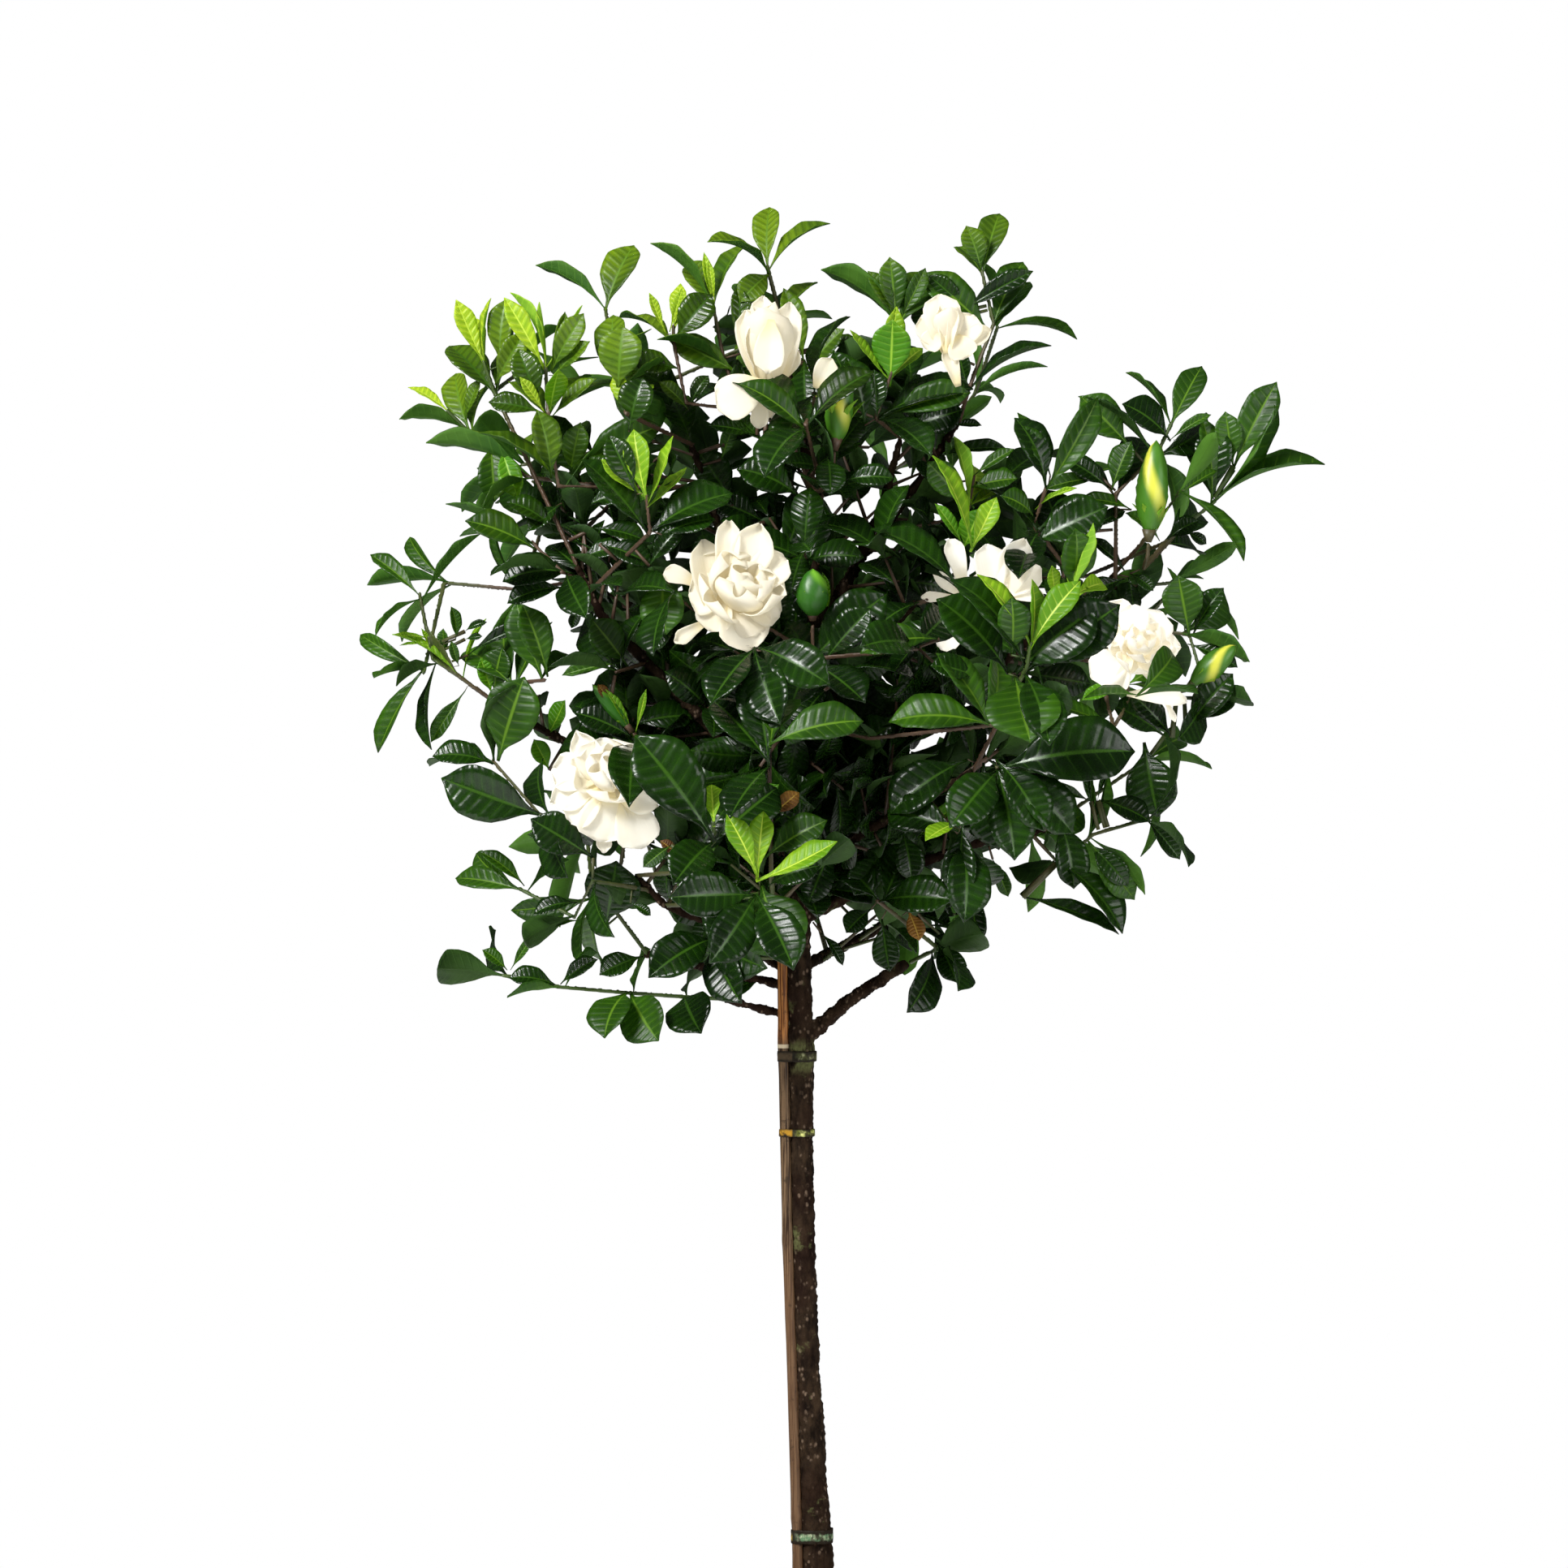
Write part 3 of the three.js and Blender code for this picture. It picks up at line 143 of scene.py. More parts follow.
# %% Node helpers
class Finish:
    """One material and its nodes."""

    def __init__(self, name):
        self.material = bpy.data.materials.new(name)
        self.material.use_nodes = True
        self.tree = self.material.node_tree
        self.tree.nodes.clear()

    def add(self, kind, inputs=None, **settings):
        """A node with its settings, its inputs set to values or joined to other nodes' outputs."""
        node = self.tree.nodes.new("ShaderNode" + kind)
        for name, value in settings.items():
            setattr(node, name, value)
        for name, value in (inputs or {}).items():
            if isinstance(value, bpy.types.NodeSocket):
                self.tree.links.new(value, node.inputs[name])
            else:
                node.inputs[name].default_value = value
        return node

    def sum(self, operation, first, second=0.5, third=0.0):
        """One step of arithmetic."""
        return self.add("Math", {0: first, 1: second, 2: third}, operation=operation).outputs[0]

    def ramp(self, value, low, high, start=0.0, end=1.0):
        """Carries a value smoothly from one range to another."""
        inputs = {"Value": value, "From Min": low, "From Max": high, "To Min": start, "To Max": end}
        return self.add("MapRange", inputs, interpolation_type="SMOOTHSTEP").outputs["Result"]

    def mix(self, share, first, second):
        """One colour over another."""
        return self.add("Mix", {0: share, 6: first, 7: second}, data_type="RGBA").outputs[2]

    def noise(self, place, scale, detail=3.0, roughness=0.55):
        """Cloudy noise from 0 to 1."""
        inputs = {"Vector": place, "Scale": scale, "Detail": detail, "Roughness": roughness}
        return self.add("TexNoise", inputs).outputs[0]

    def stretched(self, place, scale):
        """The same place, with the pattern drawn out by a factor along each axis."""
        return self.add("Mapping", {"Vector": place, "Scale": scale}).outputs[0]

    def bump(self, height, strength, distance):
        """Small relief."""
        inputs = {"Height": height, "Strength": strength, "Distance": distance}
        return self.add("Bump", inputs).outputs["Normal"]

    def from_middle(self, value, middle):
        """How far a value is from a middle, to either side."""
        return self.sum("ABSOLUTE", self.sum("SUBTRACT", value, middle))

    def skin(self, colour, roughness, normal, specular=0.5, **more):
        """The shader of a solid surface."""
        inputs = {"Base Color": colour, "Roughness": roughness, "Normal": normal, **more}
        return self.add("BsdfPrincipled", {**inputs, "Specular IOR Level": specular}).outputs[0]

    def lit_through(self, share, surface, **light):
        """A surface that lets a share of the light through, closed."""
        through = self.add("BsdfTranslucent", light)
        return self.close(self.add("MixShader", {0: share, 1: surface, 2: through.outputs[0]}).outputs[0])

    def close(self, shader):
        """Joins the last shader to the output."""
        output = self.add("OutputMaterial")
        self.tree.links.new(shader, output.inputs["Surface"])
        print("finish", self.material.name, "has", len(self.tree.nodes), "nodes")
        return self.material

    def object_place(self):
        """Coordinates in the object's own space."""
        return self.add("TexCoord").outputs["Object"]

    def axis(self, place, name):
        """One axis of a place."""
        return self.add("SeparateXYZ", {"Vector": place}).outputs[name]

    def sheet_place(self):
        """Where on its sheet a point lies: across and along, each from 0 to 1."""
        across_along = self.add("SeparateXYZ", {"Vector": self.add("TexCoord").outputs["UV"]})
        return across_along.outputs["X"], across_along.outputs["Y"]


def rgb(red, green, blue):
    """A colour as Blender wants it."""
    return (red, green, blue, 1.0)


print("steps of a finish:", [name for name in vars(Finish) if not name.startswith("_")])

# %% [markdown]
# ## Leaf finishes
#
# A gardenia leaf is leathery and glossy above, with a pale midrib and side veins that lie in grooves, so
# the blade between them is quilted. Old leaves are almost black-green, those of this season are mid green,
# and the newest are yellow-green and let light through. The underside is paler and duller. One rule makes
# them all: the colours and the amount of light let through change with the leaf's age.

# %% Leaf finishes
VEINS = 10
KEY_LAMP_SIDE = Vector((-0.36, -0.15, 0.93)) / 0.26


def lamp_side_light(finish, place):
    """How far a leaf lies on the crown's side toward the key lamp, where its colour is made lighter: painted
    light, partly also the paler colour of the young leaves at the top and upper left.
    """
    from_centre = finish.add("VectorMath", {0: place, 1: -CROWN_CENTRE}, operation="ADD").outputs["Vector"]
    toward = finish.add("VectorMath", {0: from_centre, 1: KEY_LAMP_SIDE}, operation="DOT_PRODUCT").outputs["Value"]
    wander = finish.sum("MULTIPLY_ADD", finish.noise(place, 24.0, 2.0), 1.1, toward)
    return finish.ramp(wander, 1.0, 1.75)


def vein_pattern(finish, across, along):
    """The midrib, the side veins and the wave that the side veins follow."""
    from_midrib = finish.from_middle(across, 0.5)
    midrib = finish.ramp(from_midrib, 0.012, 0.045, 1.0, 0.0)
    wave = finish.sum("PINGPONG", finish.sum("MULTIPLY", along, float(VEINS)), 0.5)
    return from_midrib, midrib, wave


def leaf_finish(name, dark, light, lit_side_colour, vein, rough, glow, share, quilt):
    """A leaf's upper side: ages differ in colour, gloss and the light that they let through."""
    finish = Finish(name)
    across, along = finish.sheet_place()
    place = finish.object_place()
    from_midrib, midrib, wave = vein_pattern(finish, across, along)
    side_vein = finish.ramp(wave, 0.015, 0.1, 1.0, 0.0)
    faded = finish.ramp(from_midrib, 0.1, 0.45, 0.36, 0.1)
    veins = finish.sum("MAXIMUM", midrib, finish.sum("MULTIPLY", side_vein, faded))
    blade = finish.mix(finish.ramp(finish.noise(place, 21.0, 2.0), 0.34, 0.66), dark, light)
    # Painted light: blades on the crown's side toward the key lamp are mixed toward a lighter, yellower
    # colour.
    blade = finish.mix(lamp_side_light(finish, place), blade, lit_side_colour)
    mottle = finish.noise(place, 240.0, 3.0)
    blade = finish.mix(finish.ramp(mottle, 0.35, 0.75, 0.0, 0.28), blade, dark)
    stripe = finish.sum("MULTIPLY", finish.ramp(wave, 0.16, 0.5), 0.45)
    blade = finish.mix(stripe, blade, dark)
    colour = finish.mix(veins, blade, vein)
    relief = finish.sum("MULTIPLY", finish.ramp(wave, 0.0, 0.34), finish.ramp(from_midrib, 0.02, 0.14))
    height = finish.sum("MULTIPLY_ADD", finish.noise(place, 900.0, 2.0), 0.1, relief)
    normal = finish.bump(height, quilt, 0.0006)
    roughness = finish.ramp(mottle, 0.3, 0.7, rough, rough + 0.12)
    surface = finish.skin(colour, roughness, normal, 0.34)
    return finish.lit_through(share, surface, Color=glow, Normal=normal)


def leaf_back_finish(name, dark, light, glow, share):
    """A leaf's underside: matt and paler, with the veins standing out."""
    finish = Finish(name)
    across, along = finish.sheet_place()
    place = finish.object_place()
    _, midrib, wave = vein_pattern(finish, across, along)
    veins = finish.sum("MAXIMUM", midrib, finish.ramp(wave, 0.02, 0.12, 0.6, 0.0))
    blade = finish.mix(finish.ramp(finish.noise(place, 26.0), 0.35, 0.65), dark, light)
    colour = finish.mix(veins, blade, light)
    normal = finish.bump(veins, 0.4, 0.0005)
    return finish.lit_through(share, finish.skin(colour, 0.6, normal, 0.3), Color=glow)


# %% Leaf ages
# The third colour of each upper side is the painted light of the side toward the key lamp.
old_top = leaf_finish(
    "leaf_old", rgb(0.003, 0.013, 0.001), rgb(0.011, 0.042, 0.002), rgb(0.06, 0.13, 0.003),
    rgb(0.03, 0.085, 0.006), rough=0.22, glow=rgb(0.05, 0.17, 0.005), share=0.06, quilt=0.42,
)
mid_top = leaf_finish(
    "leaf_mid", rgb(0.012, 0.045, 0.001), rgb(0.036, 0.115, 0.003), rgb(0.17, 0.28, 0.005),
    rgb(0.1, 0.21, 0.01), rough=0.36, glow=rgb(0.17, 0.4, 0.005), share=0.17, quilt=0.42,
)
fresh_top = leaf_finish(
    "leaf_fresh", rgb(0.05, 0.19, 0.004), rgb(0.12, 0.34, 0.008), rgb(0.3, 0.5, 0.012),
    rgb(0.3, 0.52, 0.04), rough=0.36, glow=rgb(0.3, 0.6, 0.01), share=0.24, quilt=0.5,
)
faded_top = leaf_finish(
    "leaf_faded", rgb(0.09, 0.035, 0.008), rgb(0.42, 0.2, 0.015), rgb(0.5, 0.3, 0.02),
    rgb(0.5, 0.32, 0.05), rough=0.5, glow=rgb(0.6, 0.3, 0.02), share=0.2, quilt=0.5,
)
young_top = leaf_finish(
    "leaf_young", rgb(0.1, 0.25, 0.006), rgb(0.28, 0.48, 0.014), rgb(0.56, 0.66, 0.03),
    rgb(0.6, 0.74, 0.08), rough=0.38, glow=rgb(0.5, 0.78, 0.03), share=0.3, quilt=0.5,
)
old_back = leaf_back_finish(
    "leaf_old_back", rgb(0.014, 0.045, 0.006), rgb(0.035, 0.09, 0.012), rgb(0.08, 0.24, 0.012), 0.1
)
mid_back = leaf_back_finish(
    "leaf_mid_back", rgb(0.03, 0.1, 0.008), rgb(0.075, 0.19, 0.018), rgb(0.2, 0.48, 0.015), 0.24
)
young_back = leaf_back_finish(
    "leaf_young_back", rgb(0.16, 0.36, 0.02), rgb(0.36, 0.58, 0.05), rgb(0.55, 0.8, 0.04), 0.34
)

# %% [markdown]
# ## Holding and shaping a piece
#
# By hand one selects a piece, goes into edit mode, moves what is selected and comes back. These helpers do
# the same, because an operator acts on everything that is selected.

# %% Modelling helpers
def drop_selection():
    """Leaves edit mode and lets go of everything."""
    if bpy.context.mode != "OBJECT":
        bpy.ops.object.mode_set(mode="OBJECT")
    bpy.ops.object.select_all(action="DESELECT")


def hold(piece):
    """Makes one piece the only one that is selected."""
    drop_selection()
    piece.select_set(True)
    bpy.context.view_layer.objects.active = piece


def apply_modifier(piece, kind, **settings):
    """Adds a modifier and applies it."""
    hold(piece)
    modifier = piece.modifiers.new(kind.lower(), kind)
    for name, value in settings.items():
        setattr(modifier, name, value)
    bpy.ops.object.modifier_apply(modifier=modifier.name)


def paint(piece, *finishes):
    """Gives a piece its finishes and smooth shading."""
    for finish in finishes:
        piece.data.materials.append(finish)
    hold(piece)
    bpy.ops.object.shade_smooth()


# %% [markdown]
# ## Shaping a flat sheet by hand
#
# Leaves and petals start as a grid. Its rows are scaled to the outline, its columns are raised for the
# fold, and it is bent row by row from base to tip, as fingers would bend it. At the end its tip is brought
# back to one unit from its base, so that a copy can be laid from any point to any other.

# %% Sheets
templates = []


def twin(piece):
    """A copy of a piece with a mesh of its own."""
    other = piece.copy()
    other.data = piece.data.copy()
    bpy.context.collection.objects.link(other)
    return other


def choose(piece, indices):
    """Selects corners of a piece in edit mode."""
    bpy.ops.mesh.select_all(action="DESELECT")
    mesh = bmesh.from_edit_mesh(piece.data)
    mesh.verts.ensure_lookup_table()
    for index in indices:
        mesh.verts[index].select_set(True)
    mesh.select_flush(True)
    bmesh.update_edit_mesh(piece.data)


def between(table, t):
    """A value read from a table of (position, value) rows, drawn straight between them."""
    for (low, a), (high, b) in zip(table, table[1:]):
        if t <= high:
            return a + (b - a) * (t - low) / (high - low)
    return table[-1][1]


class Sheet:
    """A unit sheet: its base at the origin, its tip one unit along Y, its upper side towards Z."""

    def __init__(self, name, columns, rows):
        drop_selection()
        bpy.ops.mesh.primitive_grid_add(
            x_subdivisions=columns, y_subdivisions=rows, size=1, location=(0, 0.5, 0)
        )
        self.piece = bpy.context.object
        self.piece.name = name
        bpy.ops.object.transform_apply()
        self.half = columns // 2
        self.rows = rows
        self.corner = {}
        for vert in self.piece.data.vertices:
            self.corner[round(vert.co.x * columns), round(vert.co.y * rows)] = vert.index

    def shape(self, outline, width, rule):
        """Scales each row to the outline, then moves each pair of corners by the rule."""
        hold(self.piece)
        bpy.ops.object.mode_set(mode="EDIT")
        for row in range(self.rows + 1):
            t = row / self.rows
            choose(self.piece, [self.corner[column, row] for column in range(-self.half, self.half + 1)])
            row_width = width * between(outline, t)
            bpy.ops.transform.resize(value=(row_width, 1, 1), center_override=(0, t, 0))
        for row in range(self.rows + 1):
            t = row / self.rows
            for column in range(self.half + 1):
                choose(self.piece, {self.corner[column, row], self.corner[-column, row]})
                squeeze, forward, rise = rule(column / self.half, t, row)
                bpy.ops.transform.resize(value=(squeeze, 1, 1), center_override=(0, t, 0))
                bpy.ops.transform.translate(value=(0, forward, rise))
        bpy.ops.object.mode_set(mode="OBJECT")

    def copy(self, name):
        """A second sheet of the same shape."""
        second = object.__new__(Sheet)
        second.piece = twin(self.piece)
        second.piece.name = name
        second.half, second.rows, second.corner = self.half, self.rows, self.corner
        return second

    def bend(self, degrees, twist=0.0, start=0):
        """Turns what lies beyond each row a little further. Positive bends towards the upper side."""
        hold(self.piece)
        bpy.ops.object.mode_set(mode="EDIT")
        step = math.radians(degrees) / (self.rows - start)
        roll = math.radians(twist) / (self.rows - start)
        for row in range(start + 1, self.rows + 1):
            mesh = bmesh.from_edit_mesh(self.piece.data)
            mesh.verts.ensure_lookup_table()
            pivot = mesh.verts[self.corner[0, row - 1]].co.copy()
            choose(self.piece, [index for (_, other), index in self.corner.items() if other >= row])
            bpy.ops.transform.rotate(value=-step, orient_axis="X", center_override=pivot)
            if roll:
                bpy.ops.transform.rotate(value=-roll, orient_axis="Y", center_override=pivot)
        bpy.ops.object.mode_set(mode="OBJECT")

    def level(self):
        """Brings the tip back to one unit along Y."""
        tip = self.piece.data.vertices[self.corner[0, self.rows]].co.copy()
        turn = tip.rotation_difference(Vector((0, 1, 0))).to_euler()
        hold(self.piece)
        self.piece.rotation_euler = turn
        self.piece.scale = [1 / tip.length] * 3
        bpy.ops.object.transform_apply()

    def finish(self, thickness, upper, under):
        """Gives the sheet its thickness and its two finishes."""
        paint(self.piece, upper, under)
        apply_modifier(self.piece, "SOLIDIFY", thickness=thickness, offset=-1, material_offset=1)
        templates.append(self.piece)
        return self.piece


print("steps of a sheet:", [name for name in vars(Sheet) if not name.startswith("_")])

# %% [markdown]
# ## The leaves
#
# The rows of the grid are pushed forward towards the edge, so that each one runs as a side vein does. Every
# second row is then a vein and the one between stands up a little: the quilting costs no more faces. Each
# age has a few bends of its own, because no two leaves of a shrub lie alike.

# %% Leaf templates
FULL_OUTLINE = [
    (0, 0.05), (0.08, 0.07), (0.14, 0.22), (0.24, 0.58), (0.36, 0.88), (0.5, 1.0),
    (0.64, 0.97), (0.77, 0.8), (0.87, 0.5), (0.93, 0.25), (0.97, 0.09), (1, 0.01),
]
YOUNG_OUTLINE = [
    (0, 0.1), (0.12, 0.14), (0.22, 0.42), (0.38, 0.78), (0.56, 1.0), (0.72, 0.87), (0.86, 0.5),
    (0.95, 0.2), (1, 0.02),
]
FOLD = 0.32
VEIN_SLANT = 0.1
QUILT = 0.006
WAVE = 0.008
LEAF_THICKNESS = 0.009


def leaf_rule(width, outline):
    """Forward slant, fold, quilting and a slightly waved edge."""

    def rule(out, t, row):
        swell = math.sqrt(max(0.0, 4 * t * (1 - t)))
        forward = VEIN_SLANT * out * swell * min(1.0, 3 * (1 - t))
        half_width = width * between(outline, t) / 2
        ridge = QUILT * swell if row % 2 and 0 < out < 1 else 0.0
        edge = WAVE * math.sin(row * 1.1) * swell if out == 1 else 0.0
        return 1.0, forward, FOLD * half_width * out + ridge + edge

    return rule


def leaf_templates(age, width, outline, rows, columns, bends, upper, under):
    """One leaf shape in several bends."""
    flat = Sheet(age + "_leaf", columns, rows)
    flat.shape(outline, width, leaf_rule(width, outline))
    made = []
    for number, (degrees, twist) in enumerate(bends):
        leaf = flat.copy(f"{age}_leaf_{number}")
        leaf.bend(degrees, twist)
        leaf.level()
        made.append(leaf.finish(LEAF_THICKNESS, upper, under))
    templates.append(flat.piece)
    return made


OLD_BENDS = [(-46, 8), (-34, -14), (-62, 10), (-24, 18)]
MID_BENDS = [(-38, 8), (-22, -12), (-52, 14)]
YOUNG_BENDS = [(-26, 10), (14, -8), (-44, 12)]
leaves = {
    "old": leaf_templates("old", 0.47, FULL_OUTLINE, 20, 6, OLD_BENDS, old_top, old_back),
    "mid": leaf_templates("mid", 0.44, FULL_OUTLINE, 20, 6, MID_BENDS, mid_top, mid_back),
    "young": leaf_templates("young", 0.36, YOUNG_OUTLINE, 20, 6, YOUNG_BENDS, young_top, young_back),
    "fresh": leaf_templates("fresh", 0.46, FULL_OUTLINE, 16, 6, YOUNG_BENDS, fresh_top, young_back),
    "faded": leaf_templates("faded", 0.42, FULL_OUTLINE, 8, 4, OLD_BENDS, faded_top, faded_top),
    "back": leaf_templates("back", 0.46, FULL_OUTLINE, 8, 4, MID_BENDS, mid_top, mid_back),
    "inner": leaf_templates("inner", 0.5, FULL_OUTLINE, 7, 2, OLD_BENDS, old_top, old_back),
}
print("leaf shapes:", {age: len(shapes) for age, shapes in leaves.items()})

# %% [markdown]
# ## Where the leaves go
#
# The fixed model has every leaf of the outer crown as a blade with a flat top and a keel. Its tip is the
# only corner of a spray where just three edges meet, and the three corners next to it give the blade's
# side, its upper side and its length. So each blade tells where its fine copy lies.

# %% Find the leaves of a spray
KEEL = 1.5 * MM
LEAF_KINDS = {
    "old": {"stations": (0.12, 0.46, 0.78), "widths": (0.13, 1, 0.78), "width": 0.47, "arch": 0.1},
    "mid": {"stations": (0.12, 0.46, 0.78), "widths": (0.13, 1, 0.78), "width": 0.44, "arch": 0.08},
    "young": {"stations": (0.16, 0.6), "widths": (0.2, 1), "width": 0.36, "arch": 0.05},
    "back": {"stations": (0.16, 0.6), "widths": (0.2, 1), "width": 0.46, "arch": 0.09},
}
NEAR = 0.05 * MM
MERGE = 0.01 * MM
SQUARE = 0.05


def merged_mesh(node):
    """A node's mesh with its loose triangles joined."""
    mesh = bmesh.new()
    mesh.from_mesh(frame["nodes"][node].data)
    bmesh.ops.remove_doubles(mesh, verts=mesh.verts, dist=MERGE)
    return mesh


def last_ring(kind):
    """How wide a leaf is at its last ring, against what is left of it from there to its tip."""
    return kind["widths"][-1] * kind["width"] / (1 - kind["stations"][-1])


def leaf_at(tip, ring):
    """The leaf that ends in this corner, or nothing if it isn't a leaf's tip."""
    for keel in ring:
        left, right = [corner.co for corner in ring if corner is not keel]
        middle = (left + right) / 2
        up = middle - keel.co
        even = abs((left - tip).length - (right - tip).length)
        if abs(up.length - KEEL) > NEAR or even > NEAR:
            continue
        up.normalize()
        side = (right - left).normalized()
        if abs(up.dot(side)) > SQUARE:
            continue
        along = up.cross(side)
        if (tip - middle).dot(along) < 0:
            side, along = -side, -along
        ahead = (tip - middle).dot(along)
        ratio = (right - left).length / ahead
        age = min(LEAF_KINDS, key=lambda each: abs(last_ring(LEAF_KINDS[each]) - ratio))
        kind = LEAF_KINDS[age]
        length = ahead / (1 - kind["stations"][-1])
        return {"age": age, "tip": tip.copy(), "along": along, "up": up, "side": side, "length": length}
    return None


def find_leaves(mesh):
    """All leaves of a spray."""
    found = []
    for corner in mesh.verts:
        if len(corner.link_edges) == 3:
            leaf = leaf_at(corner.co, [edge.other_vert(corner) for edge in corner.link_edges])
            if leaf:
                leaf["base"] = leaf["tip"] - leaf["along"] * leaf["length"]
                found.append(leaf)
    return found


print("leaf kinds in the fixed model:", sorted(LEAF_KINDS))

# %% [markdown]
# ## Laying, joining and dressing
#
# A unit sheet is copied, turned and scaled until it runs from its foot along its direction. Copies that
# belong together are joined to one piece, whose place then goes into its mesh.

# %% Lay, join and dress
def laid_along(side, along, upright):
    """A turn that lays X, Y and Z along three directions."""
    return Matrix((side, along, upright)).transposed().to_4x4()


def place(template, base, along, up, length, widen=1.0):
    """A copy of a unit sheet, laid from a base along a direction with its upper side up."""
    side = along.cross(up).normalized()
    upright = side.cross(along).normalized()
    turn = laid_along(side * widen, along.normalized(), upright)
    piece = twin(template)
    piece.matrix_world = Matrix.Translation(base) @ turn @ Matrix.Scale(length, 4)
    return piece


def join(name, pieces):
    """Joins pieces into one, with its place in its mesh."""
    drop_selection()
    for piece in pieces:
        piece.select_set(True)
    bpy.context.view_layer.objects.active = pieces[0]
    bpy.ops.object.join()
    bpy.ops.object.transform_apply()
    pieces[0].name = name
    pieces[0].data.name = name
    return pieces[0]


def dress(piece, slot, *nodes):
    """Lets a piece ride with the plant and hides the nodes it stands for. The slot is not used."""
    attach(piece, "root")
    if nodes:
        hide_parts(*nodes)


print("templates to lay:", len(templates))

# %% [markdown]
# ## Green shoots
#
# New wood is green and round and thickens into small collars where leaves leave it. The fixed model's
# shoots have three sides. Without their leaves they are remeshed into even small faces and smoothed, which
# rounds them and blends every fork, as growth does. Towards the inside of the crown their green turns to
# brown bark.

# %% Shoot finish
def stem_finish():
    """Green at the crown's edge, brown towards its middle."""
    finish = Finish("green_stem")
    place = finish.object_place()
    centred = finish.add("Mapping", {"Vector": place, "Location": -CROWN_CENTRE}).outputs[0]
    scaled = finish.stretched(centred, [1 / reach for reach in CROWN_REACH])
    reach = finish.add("VectorMath", {0: scaled}, operation="LENGTH").outputs["Value"]
    wander = finish.sum("MULTIPLY_ADD", finish.noise(place, 30.0), 0.3, reach)
    green = finish.mix(finish.noise(place, 90.0), rgb(0.022, 0.05, 0.007), rgb(0.065, 0.11, 0.016))
    brown = finish.mix(finish.noise(place, 160.0), rgb(0.035, 0.018, 0.01), rgb(0.12, 0.07, 0.04))
    colour = finish.mix(finish.ramp(wander, 0.82, 1.12), brown, green)
    normal = finish.bump(finish.noise(place, 500.0), 0.35, 0.0004)
    return finish.close(finish.skin(colour, 0.5, normal))


green_stem = stem_finish()

# %% Shoots behind flowers
BEHIND = 24
FLOWERS = [
    ((-52, -112, 950), 44), ((-30, -66, 1092), 42), ((91, -70, 1100), 34), ((112, -62, 960), 44),
    ((208, -60, 903), 40), ((-135, -92, 820), 44), ((0, -113, 940), 15), ((17, -81, 1058), 16),
    ((216, -23, 1010), 16), ((253, -37, 897), 16),
]
PUSHED_BACK = [((-27, -150, 785), 28), ((-27, -150, 815), 28), ((-27, -150, 840), 22)]
FLOWER_MARGIN = 1.25


def leaf_corners(leaf):
    """Where the fixed model has the corners of a blade."""
    kind = LEAF_KINDS[leaf["age"]]
    yield leaf["tip"]
    for t, width in zip(kind["stations"], kind["widths"]):
        rise = kind["arch"] * 4 * t * (1 - t) * leaf["length"]
        middle = leaf["base"] + leaf["along"] * (leaf["length"] * t) + leaf["up"] * rise
        edge = leaf["side"] * (leaf["length"] * kind["width"] * width / 2)
        yield middle + edge
        yield middle - edge
        yield middle - leaf["up"] * KEEL


def behind_flowers(point):
    """Where a shoot that would cross in front of a flower goes instead."""
    x, y, z = point / MM
    for (flower_x, flower_y, flower_z), radius in FLOWERS + PUSHED_BACK:
        away = math.hypot(x - flower_x, z - flower_z) / (radius * FLOWER_MARGIN)
        if away < 1 and y < flower_y + BEHIND:
            y += (flower_y + BEHIND - y) * min(1.0, 2.5 * (1 - away))
    return Vector((x, y, z)) * MM


print("flowers and buds to keep clear:", len(FLOWERS))

# %% Bare shoots
SHOOT_VOXEL = 0.9 * MM
SHOOT_STEP = 3 * MM
LONG_EDGE = 12 * MM
shoot_points = []


def new_piece(name, mesh):
    """A piece from an edited mesh, with no finish yet."""
    data = bpy.data.meshes.new(name)
    mesh.to_mesh(data)
    mesh.free()
    piece = bpy.data.objects.new(name, data)
    bpy.context.collection.objects.link(piece)
    data.materials.clear()
    return piece


def tree_of(points):
    """Points in a tree that finds the nearest one."""
    tree = KDTree(len(points))
    for index, point in enumerate(points):
        tree.insert(point, index)
    tree.balance()
    return tree


def along_edges(mesh, lowest=0.0):
    """Points every few millimetres along the edges of a mesh."""
    for edge in mesh.edges:
        start, end = [corner.co for corner in edge.verts]
        if min(start.z, end.z) > lowest:
            steps = int((end - start).length / SHOOT_STEP) + 1
            for step in range(steps):
                yield start.lerp(end, step / steps)


def bare_shoots(name, mesh, found):
    """The spray without its leaves, as round shoots."""
    mesh.verts.ensure_lookup_table()
    finder = tree_of([corner.co for corner in mesh.verts])
    gone = set()
    for leaf in found:
        for point in leaf_corners(leaf):
            _, index, distance = finder.find(point)
            if distance < 2 * NEAR:
                gone.add(mesh.verts[index])
    bmesh.ops.delete(mesh, geom=list(gone), context="VERTS")
    open_edges = [edge for edge in mesh.edges if edge.is_boundary]
    bmesh.ops.holes_fill(mesh, edges=open_edges, sides=0)
    long_edges = [edge for edge in mesh.edges if edge.calc_length() > LONG_EDGE]
    bmesh.ops.subdivide_edges(mesh, edges=long_edges, cuts=5)
    for corner in mesh.verts:
        corner.co = behind_flowers(corner.co)
    shoot_points.extend(along_edges(mesh))
    shoots = new_piece(name, mesh)
    apply_modifier(shoots, "REMESH", mode="VOXEL", voxel_size=SHOOT_VOXEL)
    apply_modifier(shoots, "SMOOTH", factor=0.5, iterations=4)
    apply_modifier(shoots, "DECIMATE", ratio=0.4)
    paint(shoots, green_stem)
    return shoots


print("shoots are remeshed at", SHOOT_VOXEL / MM, "mm")

# %% [markdown]
# ## Lines of sight
#
# What is nearer than the trunk looks larger, so a point slides along its line of sight when its depth
# changes. Places read from the front are given in the upright plane through the trunk, in millimetres.

